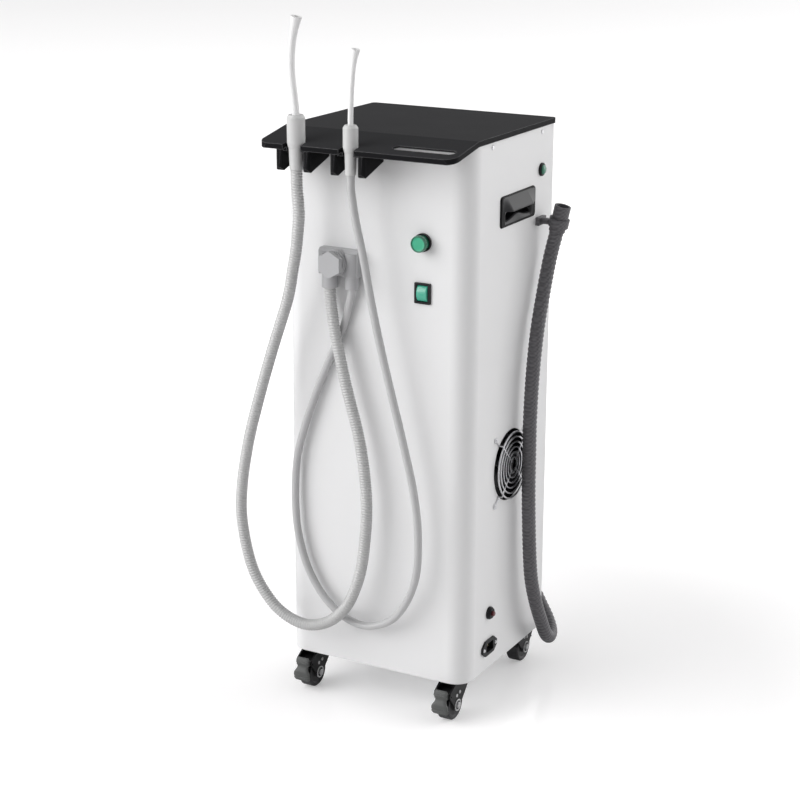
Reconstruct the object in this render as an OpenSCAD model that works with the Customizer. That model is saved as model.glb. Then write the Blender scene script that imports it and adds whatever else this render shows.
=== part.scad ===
// Mobile dental suction unit: a slim steel cabinet on four casters, with a
// moulded top cover whose front lip holds two suction handpieces, their hoses
// hanging in loops in front, and a drain hose clipped to the right side.
// Front is -Y, right is +X, up is +Z, in millimetres, with the floor at z = 0.

/* [Cabinet] */
// Width of the cabinet
body_w = 312; // [290:1:340]
// Depth of the cabinet
body_d = 276; // [262:1:310]
// Height of the cabinet sheet, from its lower edge to the cover
body_h = 822; // [805:1:900]
// Radius of the two vertical front corners
corner_r = 30; // [20:1:40]
// Thickness of the cabinet sheet
sheet_t = 1.5; // [1:0.25:2.5]
// Width of the folded return at the open rear of the cabinet sheet
return_w = 14; // [10:1:20]
// Thickness of the base tray and of the equipment shelf
tray_t = 2.5; // [2:0.5:4]
// Height of the upturned edge of the base tray and shelf
tray_edge = 16; // [10:1:24]
// Distance of the equipment shelf below the upper edge of the cabinet
shelf_down = 434; // [416:1:440]
// Gap left round a part that drops inside the sheet
slip = 0.3; // [0.2:0.05:0.5]

/* [Top cover] */
// Thickness of the top cover
cover_t = 8; // [6:0.5:10]
// Skin left above the hollow underside of the cover
cover_skin = 3; // [2.5:0.5:4]
// How far the cover stands out past the sides and the rear
cover_over = 3; // [1:0.5:6]
// Distance from the front of the cabinet back to the bend of the lip
bend_back = 16; // [10:1:24]
// Length of the sloping front lip
lip_len = 81; // [76:1:90]
// Downward slope of the lip in degrees
lip_slope = 10.5; // [6:0.5:14]
// Radius of the front corners of the lip
lip_r = 18; // [10:1:24]
// Radius of the rear corners of the cover
rear_r = 6; // [2:1:10]
// Width of the hand slot in the lip
slot_w = 98; // [80:1:110]
// Front to back size of the hand slot
slot_d = 16; // [10:1:22]
// Place of the middle of the hand slot, from the middle of the cabinet
slot_x = 99; // [95:1:102]
// Depth of the flange that drops inside the cabinet
cover_flange = 20; // [16:1:26]

/* [Handpiece holders] */
// Place of the first holder, from the middle of the cabinet
holder_x1 = -101; // [-106:1:-95]
// Place of the second holder, from the middle of the cabinet
holder_x2 = -11; // [-16:1:-6]
// Clear width between the cheeks of a holder
notch_w = 34; // [32:1:38]
// Thickness of the holder cheeks
cheek_t = 11; // [9:0.5:12]
// Depth of the holder cheeks below the lip
cheek_h = 30; // [22:1:34]
// Distance from the front edge of the lip to the handpiece axis
handpiece_in = 14; // [12:0.5:18]
// Distance of the handpieces' saddles below the upper edge of the cabinet
saddle_down = 12; // [10:0.5:16]
// Thickness of the saddle web
saddle_t = 5; // [4:0.5:8]

/* [Handpieces and tips] */
// Largest diameter of the large handpiece
large_d = 26.5; // [25:0.5:28]
// Largest diameter of the small handpiece
small_d = 22; // [20:0.5:24]
// Diameter of the large handpiece at its hose end
large_tail_d = 20; // [19:0.5:22]
// Diameter of the small handpiece at its hose end
small_tail_d = 16; // [14:0.5:18]
// Distance of the hose end of the handpieces below the upper edge of the cabinet
tail_down = 44; // [44:1:44]
// Distance of the top of the large handpiece above the upper edge of the cabinet
large_top_up = 35; // [29:1:40]
// Distance of the top of the small handpiece above the upper edge of the cabinet
small_top_up = 27; // [22:1:32]
// Outside diameter of the large suction tip
large_tip_d = 11; // [10:0.5:12]
// Outside diameter of the small suction tip
small_tip_d = 8; // [7:0.5:9]
// Distance of the end of the large suction tip above the upper edge of the cabinet
large_tip_up = 173; // [164:1:184]
// Distance of the end of the small suction tip above the upper edge of the cabinet
small_tip_up = 133; // [124:1:144]
// How deep a tip is pushed into its handpiece
tip_seat = 24; // [18:1:30]
// Wall thickness of the suction tips
tip_wall = 1.2; // [1:0.1:1.6]

/* [Front controls] */
// Place of the pilot lamp and switch, in from the right side of the cabinet
lamp_in = 76; // [70:1:84]
// Distance of the pilot lamp below the upper edge of the cabinet
lamp_down = 141; // [131:1:151]
// Diameter of the pilot lamp bezel
lamp_d = 27; // [24:0.5:29]
// Diameter of the pilot lamp lens
lens_d = 24; // [20:0.5:25]
// How far the pilot lamp stands out
lamp_out = 18; // [12:0.5:22]
// Distance of the rocker switch below the upper edge of the cabinet
switch_down = 216; // [206:1:226]
// Width of the switch frame
switch_w = 26; // [24:0.5:28]
// Height of the switch frame
switch_h = 31; // [30:0.5:33]
// Tilt of the rocker in degrees between off and on
rocker_throw = 14; // [8:1:16]

/* [Manifold] */
// Left edge of the manifold block, in from the left side of the cabinet
manifold_in = 70; // [66:1:74]
// Width of the manifold block
manifold_w = 66; // [62:1:72]
// Height of the manifold block
manifold_h = 39; // [36:1:44]
// Depth of the manifold block in front of the cabinet
manifold_d = 16; // [14:0.5:20]
// Distance of the lower edge of the manifold block below the upper edge of the cabinet
manifold_down = 202; // [202:1:202]
// Width across the flats of the filter cap
cap_flats = 35; // [32:0.5:36]
// Depth of the filter cap in front of the block
cap_d = 24; // [18:1:28]
// Diameter of the large hose cuff
cuff_large_d = 24.5; // [23:0.5:26]
// Diameter of the small hose cuff
cuff_small_d = 20.5; // [19:0.5:22]
// Length of the hose cuffs
cuff_len = 18; // [18:1:18]

/* [Side fittings] */
// Distance of the middle of the carry handles below the upper edge of the cabinet
handle_down = 108; // [96:1:116]
// Front to back length of the carry handle bezel
handle_l = 118; // [110:1:126]
// Height of the carry handle bezel
handle_h = 47; // [44:1:50]
// How far the hood of the handle stands out
handle_out = 13; // [9:0.5:16]
// Place of the carry handles, behind the middle of the cabinet
handle_y = 14; // [8:1:20]
// Depth of the finger cup behind the cabinet sheet
cup_depth = 24; // [18:1:30]
// Height of the fan above the floor
fan_z = 379; // [370:1:385]
// Place of the fan, behind the middle of the cabinet
fan_y = 7; // [2:1:12]
// Size of the square fan frame
fan_size = 120; // [110:1:120]
// Spacing of the fan fixing screws
fan_pitch = 105; // [98:0.5:105]
// Depth of the fan frame
fan_depth = 25; // [22:0.5:32]
// How far the fan guard stands out
guard_out = 7; // [5:0.5:8]
// Distance of the side push button below the upper edge of the cabinet
button_down = 65; // [56:1:70]
// Place of the side push button, behind the middle of the cabinet
button_y = 96; // [90:1:102]
// Diameter of the side push button bezel
button_d = 20; // [18:0.5:24]
// Travel of the side push button
button_travel = 3; // [2:0.5:4]
// Height of the breaker above the floor
breaker_z = 157; // [150:1:165]
// Place of the breaker and of the power inlet, ahead of the middle of the cabinet
breaker_y = 58; // [52:1:64]
// Diameter of the breaker bush
breaker_d = 20; // [17:0.5:22]
// Travel of the breaker reset button
breaker_travel = 2.5; // [1.5:0.5:3]
// Height of the power inlet above the floor
inlet_z = 101; // [98:1:108]
// Width of the power inlet flange
inlet_w = 50; // [48:0.5:54]
// Height of the power inlet flange
inlet_h = 25; // [24:0.5:28]

/* [Drain hose fittings] */
// Place of the hose clip on the right side, behind the middle of the cabinet
clip_y = 92; // [86:1:98]
// Distance of the hose clip below the upper edge of the cabinet
clip_down = 142; // [142:1:142]
// Distance from the side of the cabinet to the middle of the clip ring
clip_out = 33; // [33:1:33]
// Width of the clip ring along the hose
clip_w = 13; // [10:1:16]
// Wall of the clip ring
clip_wall = 3; // [2.5:0.5:4]
// Diameter of the cuff on the open end of the drain hose
drain_cuff_d = 25; // [24.5:0.25:26]
// Length of the cuff on the open end of the drain hose
drain_cuff_len = 40; // [40:1:40]
// Bore of the cuff where a drain spigot goes in
drain_bore_d = 19; // [17:0.5:20]
// Place of the outlet elbow on the rear panel, right of the middle
outlet_x = 88; // [88:1:88]
// Height of the outlet elbow above the floor
outlet_z = 316; // [316:1:316]

/* [Casters] */
// Height of the casters from the floor to the base tray
caster_h = 64; // [62:1:70]
// Radius of the caster wheels
wheel_r = 24.5; // [23:0.5:25]
// Width of the caster wheels
wheel_w = 21; // [18:0.5:22]
// Distance from the swivel pin to the axle
trail = 21; // [18:0.5:23]
// Distance from the side of the cabinet to the swivel pins
caster_in_x = 33; // [33:0.5:40]
// Distance from the front and rear of the cabinet to the swivel pins
caster_in_y = 36; // [33:0.5:38]
// Thickness of the fork cheeks
fork_t = 2.5; // [2:0.25:3]
// Diameter of the swivel pin
king_d = 9; // [8:0.5:10]
// Diameter of the wheel axle
axle_d = 6; // [5:0.5:8]
// Running clearance of pins in their holes
run_gap = 0.06; // [0.03:0.01:0.09]
// Swing of a brake pedal in degrees
pedal_swing = 7; // [4:1:7]

/* [Hoses] */
// Outside diameter of the large suction hose
hose_large_d = 18; // [16:0.5:19]
// Bore of the large suction hose
hose_large_bore = 12.5; // [11:0.5:13]
// Outside diameter of the small suction hose
hose_small_d = 12; // [10:0.5:12.5]
// Bore of the small suction hose
hose_small_bore = 8; // [6:0.5:8.5]
// Outside diameter of the drain hose
hose_drain_d = 22; // [20:0.5:22.5]
// Bore of the drain hose
hose_drain_bore = 16; // [14:0.5:17]
// Ribs of the large suction hose
ribs_large = 120; // [60:1:150]
// Ribs of the drain hose
ribs_drain = 72; // [40:1:100]

/* [Inside] */
// Diameter of the suction motor housing
motor_d = 150; // [130:1:156]
// Height of the suction motor housing
motor_h = 190; // [160:1:200]
// Height of the rubber mounts under the motor
mount_h = 14; // [10:1:20]
// Diameter of the separator tank
tank_d = 130; // [110:1:136]
// Height of the separator tank
tank_h = 170; // [150:1:180]
// Wall of the separator tank
tank_wall = 3; // [2:0.5:4]
// Diameter of the internal hoses
pipe_d = 14; // [12:1:16]

/* [Hidden] */
$fn = 48;
eps = 0.01;

// Heights and faces that the pieces share
body_z = caster_h;
top_z = body_z + body_h;
saddle_z = top_z - saddle_down;
tail_z = top_z - tail_down;
large_top_z = top_z + large_top_up;
small_top_z = top_z + small_top_up;
large_tip_z = top_z + large_tip_up;
small_tip_z = top_z + small_tip_up;
lamp_z = top_z - lamp_down;
switch_z = top_z - switch_down;
manifold_z = top_z - manifold_down;
handle_z = top_z - handle_down;
button_z = top_z - button_down;
clip_z = top_z - clip_down;
shelf_z = top_z - shelf_down;
side_x = body_w / 2;
front_y = -body_d / 2;
rear_y = body_d / 2;
bend_y = front_y + bend_back;
lip_run = lip_len * cos(lip_slope);
lip_y = bend_y - lip_run;
cover_z = top_z + cover_t;
holder_y = lip_y + handpiece_in;
lamp_x = side_x - lamp_in;
manifold_x = -side_x + manifold_in;
cap_x = manifold_x + manifold_w / 2 - 1.5;
cap_z = manifold_z + manifold_h / 2 + 1;
elbow_out = 44;
elbow_r = 13;
clip_tilt = 13;
ring_r = drain_cuff_d / 2 + clip_wall;
ring_reach = ring_r * cos(clip_tilt) + clip_w / 2 * sin(clip_tilt);
guard_wire = 2;
louvre_n = 8;

// The origin is under the middle of the box of everything but the free hoses
box_right = side_x + clip_out + ring_reach;
box_left = -side_x - handle_out;
box_rear = rear_y + elbow_out + elbow_r;
middle = [(box_right + box_left) / 2, (box_rear + lip_y) / 2, 0];

// Routes of the three hoses, as points along their middles, for a cabinet
// whose upper edge is 886 above the floor. On another cabinet the points above
// 640 move with that edge, and those below 320 stay.
route_top = 886;
function fitted(route) = [for (p = route)
    [p[0], p[1], p[2] + (top_z - route_top) * max(0, min(1, (p[2] - 320) / 320))]];
large_route = [
    [-101, -187.6, 841.7], [-101, -187.6, 830], [-101, -187.6, 818], [-99, -187.5, 795],
    [-98.5, -187, 772], [-101.5, -186.5, 745], [-105.5, -186, 718], [-111, -185.5, 692],
    [-122, -184, 645], [-148, -183, 572], [-172, -182, 500], [-197, -181, 415], [-212, -180, 335],
    [-213, -179, 275], [-197, -178, 205], [-166, -177, 157], [-132, -176.5, 134], [-96, -176, 128.5],
    [-61, -175, 141], [-32, -174, 169], [-14, -172.5, 206], [-3, -171, 250], [3, -169, 320],
    [0, -167, 375], [-12, -165, 443], [-34, -164, 520], [-52, -162, 592], [-61, -158, 630],
    [-65.5, -155, 653], [-66.5, -154, 668], [-66.5, -154, 683.8]];
small_route = [
    [-11, -187.6, 841.7], [-11, -187.6, 829], [-10.5, -187.5, 817], [-4, -186, 775], [6, -183, 725],
    [17, -180, 662], [31, -178, 596], [50, -175, 517], [68, -172, 444], [84, -170, 372],
    [90, -167, 300], [83, -165, 230], [50, -160, 168], [4, -157, 140], [-40, -154, 142],
    [-78, -153, 166], [-108, -152, 206], [-126, -152, 258], [-133, -151, 315], [-130, -150, 385],
    [-116, -149, 440], [-96, -148, 496], [-72, -146, 554], [-48, -145, 608], [-37, -148, 642],
    [-32, -149.8, 662], [-31.5, -150, 672], [-31.5, -150, 683.8]];
drain_route = [
    [88, 182, 289.7], [88, 182, 278], [88, 182, 262], [89, 182.5, 236], [92, 183.5, 200],
    [99, 185, 158], [113, 185.5, 117], [134, 181, 84], [155, 168, 62], [170, 148, 51], [178, 123, 52],
    [182, 99, 68], [183, 79, 97], [182, 60, 133], [180, 47, 170], [179, 41, 200], [178, 38, 235],
    [177, 36, 275], [177, 32, 330], [177, 31, 390], [177, 31, 450], [177, 37, 520], [177, 50, 585],
    [177, 69, 640], [178.5, 84, 684], [180.6, 91, 707], [183.1, 92, 718.4], [185.78, 92, 730.05]];

function unit(v) = v / norm(v);
function spline(a, b, c, d, t) = 0.5 * (2 * b + (c - a) * t + (2 * a - 5 * b + 4 * c - d) * t * t
    + (3 * b - a - 3 * c + d) * t * t * t);
// Points on a smooth curve through the route, eight to a stretch
function smooth(p, m = 8) = let (n = len(p) - 1) concat([for (i = [0:n - 1], k = [0:m - 1])
    spline(i == 0 ? 2 * p[0] - p[1] : p[i - 1], p[i], p[i + 1],
        i + 2 > n ? 2 * p[n] - p[n - 1] : p[i + 2], k / m)], [p[n]]);
function runs(c) = [for (i = 0, s = 0; i < len(c); i = i + 1,
    s = i < len(c) ? s + norm(c[i] - c[i - 1]) : s) s];
// The same curve cut into n equal steps
function even(c, n) = let (s = runs(c), total = s[len(s) - 1],
    tx = [for (i = [0:len(c) - 1]) [s[i], c[i][0]]], ty = [for (i = [0:len(c) - 1]) [s[i], c[i][1]]],
    tz = [for (i = [0:len(c) - 1]) [s[i], c[i][2]]])
    [for (i = [0:n]) let (q = total * i / n) [lookup(q, tx), lookup(q, ty), lookup(q, tz)]];
function heading(c) = [for (i = [0:len(c) - 1]) unit(c[min(i + 1, len(c) - 1)] - c[max(i - 1, 0)])];
function square_to(u, t) = unit(u - (u * t) * t);
function normals(t) = [for (i = 0, u = square_to([0, 1, 0.1], t[0]); i < len(t); i = i + 1,
    u = i < len(t) ? square_to(u, t[i]) : u) u];
// Rings of points round a curve, with one radius for each point of the curve
function rings(c, radii, sides) = let (t = heading(c), u = normals(t))
    [for (i = [0:len(c) - 1], k = [0:sides - 1]) let (a = 360 * k / sides)
        c[i] + radii[i] * (cos(a) * u[i] + sin(a) * cross(t[i], u[i]))];
function band(n, s, base, flip) = [for (i = [0:n - 2], k = [0:s - 1]) let (a = base + i * s + k,
    b = base + i * s + (k + 1) % s, c = a + s, d = b + s) each flip ? [[a, c, b], [b, c, d]]
    : [[a, b, c], [b, d, c]]];
function cap_ring(s, outer, inner, flip) = [for (k = [0:s - 1]) let (a = outer + k,
    b = outer + (k + 1) % s, c = inner + k, d = inner + (k + 1) % s) each flip ? [[a, c, b], [b, c, d]]
    : [[a, b, c], [b, d, c]]];
// Bore rings that are a whole share of the outer rings
function thin_out(c, every) = [for (i = [0:every:len(c) - 1]) c[i]];

// A hollow tube along a curve: outer radii per point, one bore radius, and a
// bore ring at every so many points
module tube_along(curve, radii, bore_r, sides, every = 1) {
    inner = thin_out(curve, every);
    no = len(curve);
    ni = len(inner);
    last_o = (no - 1) * sides;
    base = no * sides;
    last_i = base + (ni - 1) * sides;
    polyhedron(
        concat(rings(curve, radii, sides), rings(inner, [for (p = inner) bore_r], sides)),
        concat(band(no, sides, 0, true), band(ni, sides, base, false),
            cap_ring(sides, 0, base, false), cap_ring(sides, last_o, last_i, true)),
        convexity = 8);
}

// A ribbed hose: every rib is a crest ring and a valley ring
module ribbed_hose(route, d, bore, ribs) {
    curve = even(smooth(route), 2 * ribs);
    valley = (d + bore) / 4 + 0.5;
    tube_along(curve, [for (i = [0:2 * ribs]) i % 2 == 1 ? valley : d / 2], bore / 2, 8, 6);
}

module plain_hose(route, d, bore, steps) {
    curve = even(smooth(route), steps);
    tube_along(curve, [for (p = curve) d / 2], bore / 2, 8);
}

module in_frame() {
    translate(-middle) children();
}

// Plan of the cabinet, drawn in from its outside by inset
module plan(inset, r = corner_r) {
    q = max(r - inset, 1);
    w = body_w / 2 - inset;
    y0 = front_y + inset;
    y1 = rear_y - inset;
    translate([-w, y0 + q]) square([2 * w, y1 - y0 - q]);
    translate([-w + q, y0]) square([2 * (w - q), q + 1]);
    for (s = [-1, 1]) translate([s * (w - q), y0 + q]) circle(q);
}

module rounded(w, h, r) {
    square([w - 2 * r, h], center = true);
    square([w, h - 2 * r], center = true);
    for (i = [-1, 1], k = [-1, 1]) translate([i * (w / 2 - r), k * (h / 2 - r)]) circle(r);
}

// Turns a piece drawn outwards along +Z so that it stands on the right side or front
module on_right(y, z, x = side_x) {
    translate([x, y, z]) rotate([90, 0, 90]) children();
}
module on_front(x, z) {
    translate([x, front_y, z]) rotate([90, 0, 0]) children();
}

/* Cabinet */
cover_screw_r = 2;
cover_screw_z = top_z - 8;
cover_screw_ys = [-body_d / 2 + 65, body_d / 2 - 42];
rear_screw_x = side_x - sheet_t - return_w / 2;
rear_screw_zs = [body_z + 40, body_z + body_h / 2, top_z - 40];
rear_screw_r = 1.6;
hole_gap = 0.1;
lamp_barrel_r = 8;
switch_cut_w = switch_w - 5;
switch_cut_h = switch_h - 5;
port_r = 8;
port_large_x = manifold_x + 19.5;
port_small_x = manifold_x + 54.5;
port_large_y = front_y - 16;
port_small_y = front_y - 12;
fan_hole_r = fan_size / 2 - 4;
fan_screw_r = 2;
button_barrel_r = button_d / 2 - 1.5;
breaker_barrel_r = breaker_d / 2 - 4;
inlet_body_w = 27;
inlet_body_h = 19.5;
inlet_pitch = 40;
inlet_screw_r = 1.5;
cup_l = handle_l - 16;
cup_h = handle_h - 12;
clip_screw_r = 1.8;

module cabinet_shell() color([0.91, 0.91, 0.91]) in_frame() {
    difference() {
        translate([0, 0, body_z]) linear_extrude(body_h) difference() {
            plan(0);
            plan(sheet_t);
            translate([-side_x + sheet_t, rear_y - sheet_t - 1]) square([body_w - 2 * sheet_t, sheet_t + 2]);
        }
        on_front(lamp_x, lamp_z) translate([0, 0, -4]) cylinder(r = lamp_barrel_r + hole_gap, h = 8);
        on_front(lamp_x, switch_z) cube([switch_cut_w + slip, switch_cut_h + slip, 8], center = true);
        for (x = [port_large_x, port_small_x])
            on_front(x, manifold_z + manifold_h / 2) translate([0, 0, -4]) cylinder(r = port_r + hole_gap, h = 8);
        on_right(fan_y, fan_z) translate([0, 0, -4]) cylinder(r = fan_hole_r, h = 8);
        for (i = [-1, 1], k = [-1, 1]) on_right(fan_y + i * fan_pitch / 2, fan_z + k * fan_pitch / 2)
            translate([0, 0, -4]) cylinder(r = fan_screw_r + hole_gap, h = 8);
        on_right(button_y, button_z) translate([0, 0, -4]) cylinder(r = button_barrel_r + hole_gap, h = 8);
        on_right(-breaker_y, breaker_z) translate([0, 0, -4]) cylinder(r = breaker_barrel_r + hole_gap, h = 8);
        on_right(-breaker_y, inlet_z) cube([inlet_body_w + slip, inlet_body_h + slip, 8], center = true);
        for (i = [-1, 1]) on_right(-breaker_y + i * inlet_pitch / 2, inlet_z)
            translate([0, 0, -4]) cylinder(r = inlet_screw_r + hole_gap, h = 8);
        for (m = [0, 1]) mirror([m, 0, 0]) {
            on_right(handle_y, handle_z) cube([cup_l + 2 * slip, cup_h + 2 * slip, 8], center = true);
            for (y = cover_screw_ys) on_right(y, cover_screw_z)
                translate([0, 0, -4]) cylinder(r = cover_screw_r + hole_gap, h = 8);
        }
    }
    // Folded returns that the rear panel screws to
    for (m = [0, 1]) mirror([m, 0, 0]) difference() {
        translate([side_x - sheet_t - return_w, rear_y - 2 * sheet_t, body_z])
            cube([return_w + eps, sheet_t, body_h]);
        for (z = rear_screw_zs) translate([rear_screw_x, rear_y, z]) rotate([90, 0, 0])
            translate([0, 0, -4]) cylinder(r = rear_screw_r + hole_gap, h = 12);
    }
}

module rear_panel() color([0.88, 0.88, 0.88]) in_frame() {
    w = body_w - 2 * sheet_t - 2 * slip;
    difference() {
        translate([-w / 2, rear_y - sheet_t, body_z + slip]) cube([w, sheet_t, body_h - 2 * slip]);
        for (i = [-1, 1], z = rear_screw_zs) translate([i * rear_screw_x, rear_y, z]) rotate([90, 0, 0])
            translate([0, 0, -4]) cylinder(r = rear_screw_r + hole_gap, h = 12);
        translate([outlet_x, rear_y, outlet_z]) rotate([90, 0, 0]) translate([0, 0, -4])
            cylinder(r = elbow_r - 4 + hole_gap, h = 8);
        for (i = [0:louvre_n - 1], x = [-60, 60])
            translate([x - 45, rear_y - sheet_t - 1, body_z + 560 + i * 14]) cube([90, sheet_t + 2, 5]);
    }
}

module pan_screw(r, length) {
    cylinder(r = r, h = length);
    translate([0, 0, -1.4]) cylinder(r1 = r * 1.3, r2 = r * 1.9, h = 1.4);
}

module rear_panel_screws() color([0.7, 0.7, 0.72]) in_frame() {
    for (i = [-1, 1], z = rear_screw_zs) translate([i * rear_screw_x, rear_y, z])
        rotate([90, 0, 0]) pan_screw(rear_screw_r, 7);
}

module tray(z, hole = 0) {
    difference() {
        translate([0, 0, z]) linear_extrude(tray_edge) plan(sheet_t + slip);
        translate([0, 0, z + tray_t]) linear_extrude(tray_edge) plan(sheet_t + slip + tray_t);
        // Room for the rear returns of the cabinet
        translate([-side_x, rear_y - 2 * sheet_t - slip, z - 1]) cube([body_w, 10, tray_edge + 2]);
        if (hole > 0) translate([tank_x, shelf_hole_y, z - 1]) cylinder(r = hole, h = tray_t + 2);
    }
}

module base_tray() color([0.55, 0.56, 0.57]) in_frame() tray(body_z);

module equipment_shelf() color([0.55, 0.56, 0.57]) in_frame() tray(shelf_z, pipe_d / 2 + 3);

/* Top cover */
// Side view of the cover: flat plate, bend and sloping lip
module cover_profile(skin) {
    a = lip_slope;
    polygon([[rear_y + cover_over, cover_z], [bend_y, cover_z],
        [lip_y, cover_z - lip_len * sin(a)],
        [lip_y, cover_z - lip_len * sin(a)] + [sin(a), -cos(a)] * skin,
        [bend_y + skin * tan(a / 2), cover_z - skin], [rear_y + cover_over, cover_z - skin]]);
}

module cover_slab(skin) {
    w = body_w + 2 * cover_over;
    translate([w / 2, 0, 0]) rotate([90, 0, -90]) mirror([1, 0, 0])
        linear_extrude(w) cover_profile(skin);
}

module cover_plan(inset) {
    w = body_w / 2 + cover_over - inset;
    y0 = lip_y + inset;
    y1 = rear_y + cover_over - inset;
    rf = lip_r - inset;
    rb = max(rear_r - inset, 1);
    translate([-w, y0 + rf]) square([2 * w, y1 - rb - y0 - rf]);
    translate([-w + rf, y0]) square([2 * (w - rf), rf + 1]);
    translate([-w + rb, y1 - rb - 1]) square([2 * (w - rb), rb + 1]);
    for (s = [-1, 1]) {
        translate([s * (w - rf), y0 + rf]) circle(rf);
        translate([s * (w - rb), y1 - rb]) circle(rb);
    }
}

// Plan of one holder notch: a short U round the handpiece, open at the front
module notch_plan(x, r) {
    translate([x - r, lip_y - 20]) square([2 * r, holder_y - lip_y + 20]);
    translate([x, holder_y]) circle(r);
}

module slot_plan(grow = 0) {
    translate([slot_x, lip_y + 28]) rounded(slot_w + 2 * grow, slot_d + 2 * grow, slot_d / 2 + grow - eps);
}

// Side view of a holder cheek, hanging below the lip and in line with it
module cheek_profile() {
    a = lip_slope;
    z0 = cover_z - lip_len * sin(a);
    back = 57;
    polygon([[lip_y + 2, z0 - 1], [lip_y + 2 + back, z0 - 1 + back * tan(a)],
        [lip_y + 3 + back, z0 - cheek_h - 3 + back * tan(a)], [lip_y + 8, z0 - cheek_h - cover_t - 1],
        [lip_y + 4, z0 - cheek_h - cover_t + 1], [lip_y + 1, z0 - cheek_h - cover_t + 4]]);
}

module cheek(x) {
    nose = lip_y + 1 + cheek_t / 2;
    intersection() {
        translate([x + cheek_t / 2 + 1, 0, 0]) rotate([90, 0, -90]) mirror([1, 0, 0])
            linear_extrude(cheek_t + 2) cheek_profile();
        // Plan of the cheek, with a round front edge
        translate([0, 0, top_z - 80]) linear_extrude(160) {
            translate([x, nose]) circle(cheek_t / 2);
            translate([x - cheek_t / 2, nose]) square([cheek_t, 80]);
        }
    }
}

// Radius of a handpiece where it rests in its saddle
function seat_r(d) = d / 2 - 2;

module top_cover() color([0.16, 0.16, 0.17]) in_frame() {
    difference() {
        intersection() {
            cover_slab(cover_t);
            translate([0, 0, top_z - 80]) linear_extrude(200) cover_plan(0);
        }
        translate([0, 0, top_z - 60]) linear_extrude(120) notch_plan(holder_x1, large_d / 2 + 1.7);
        translate([0, 0, top_z - 60]) linear_extrude(120) notch_plan(holder_x2, small_d / 2 + 1.5);
        translate([0, 0, top_z - 60]) linear_extrude(120) slot_plan();
        // Hollow underside, inside the flange and under the lip
        translate([0, 0, top_z - 1]) linear_extrude(cover_t - cover_skin + 1)
            plan(sheet_t + slip + 4);
        // Groove for the upper edge of the cabinet
        translate([0, 0, top_z - 60]) linear_extrude(60) difference() {
            plan(-slip);
            plan(sheet_t + slip);
        }
        // Pocket under the lip, round the hand slot
        intersection() {
            translate([0, 0, -cover_skin]) cover_slab(cover_t + 4);
            translate([slot_x - slot_w / 2 - 7, lip_y + 9, top_z - 60]) cube([slot_w + 14, 41, 120]);
        }
    }
    // Flange that drops inside the cabinet
    difference() {
        translate([0, 0, top_z - cover_flange]) linear_extrude(cover_flange + 1) difference() {
            plan(sheet_t + slip);
            plan(sheet_t + slip + 3);
            translate([-side_x, rear_y - 2 * sheet_t - slip]) square([body_w, 10]);
        }
        for (m = [0, 1], y = cover_screw_ys) mirror([m, 0, 0]) on_right(y, cover_screw_z)
            translate([0, 0, -12]) cylinder(r = cover_screw_r + hole_gap, h = 16);
    }
    for (x = [holder_x1, holder_x2]) {
        for (s = [-1, 1]) cheek(x + s * (notch_w + cheek_t) / 2);
        saddle(x, seat_r(x == holder_x1 ? large_d : small_d) + slip);
    }
}

// Web between the cheeks with a slot that the handpiece drops into from above
module saddle(x, r) {
    back = front_y - 8;
    difference() {
        translate([x - notch_w / 2 - 1, holder_y - 8, saddle_z - saddle_t])
            cube([notch_w + 2, back - holder_y + 8, saddle_t]);
        translate([x, holder_y, saddle_z - saddle_t - 1]) cylinder(r = r, h = saddle_t + 2);
        translate([x - r + 0.4, holder_y - 20, saddle_z - saddle_t - 1]) cube([2 * r - 0.8, 20, saddle_t + 2]);
    }
}

module cover_screws() color([0.75, 0.75, 0.77]) in_frame() {
    for (m = [0, 1], y = cover_screw_ys) mirror([m, 0, 0])
        on_right(y, cover_screw_z) rotate([180, 0, 0]) pan_screw(cover_screw_r, 7);
}

/* Front controls */
module pilot_lamp_bezel() color([0.08, 0.08, 0.09]) in_frame() on_front(lamp_x, lamp_z) {
    difference() {
        union() {
            cylinder(r = lamp_d / 2, h = 5);
            translate([0, 0, -22]) cylinder(r = lamp_barrel_r, h = 23);
        }
        translate([0, 0, 2]) cylinder(r = lens_d / 2 + slip, h = 5);
    }
    translate([0, 0, -sheet_t - 4]) difference() {
        cylinder(r = lamp_barrel_r + 4, h = 4);
        translate([0, 0, -1]) cylinder(r = lamp_barrel_r - eps, h = 6);
    }
}

module pilot_lamp_lens() color([0.2, 0.68, 0.5]) in_frame() on_front(lamp_x, lamp_z) {
    translate([0, 0, 2]) cylinder(r = lens_d / 2, h = lamp_out - 4);
    translate([0, 0, lamp_out - 2]) cylinder(r1 = lens_d / 2, r2 = lens_d / 2 - 1.5, h = 2);
}

rocker_w = switch_w - 9;
rocker_h = switch_h - 8;
rocker_pivot = 1;

module switch_frame() color([0.08, 0.08, 0.09]) in_frame() on_front(lamp_x, switch_z) difference() {
    union() {
        linear_extrude(3) rounded(switch_w, switch_h, 1.5);
        translate([0, 0, -11]) cube([switch_cut_w, switch_cut_h, 24], center = true);
    }
    translate([0, 0, -4]) cube([rocker_w + 1, rocker_h + 2, 16], center = true);
    for (s = [-1, 1]) translate([s * (rocker_w / 2 + 0.5), 0, rocker_pivot]) rotate([0, 90, 0])
        cylinder(r = 1.2 + run_gap, h = 2.4, center = true);
}

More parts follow.
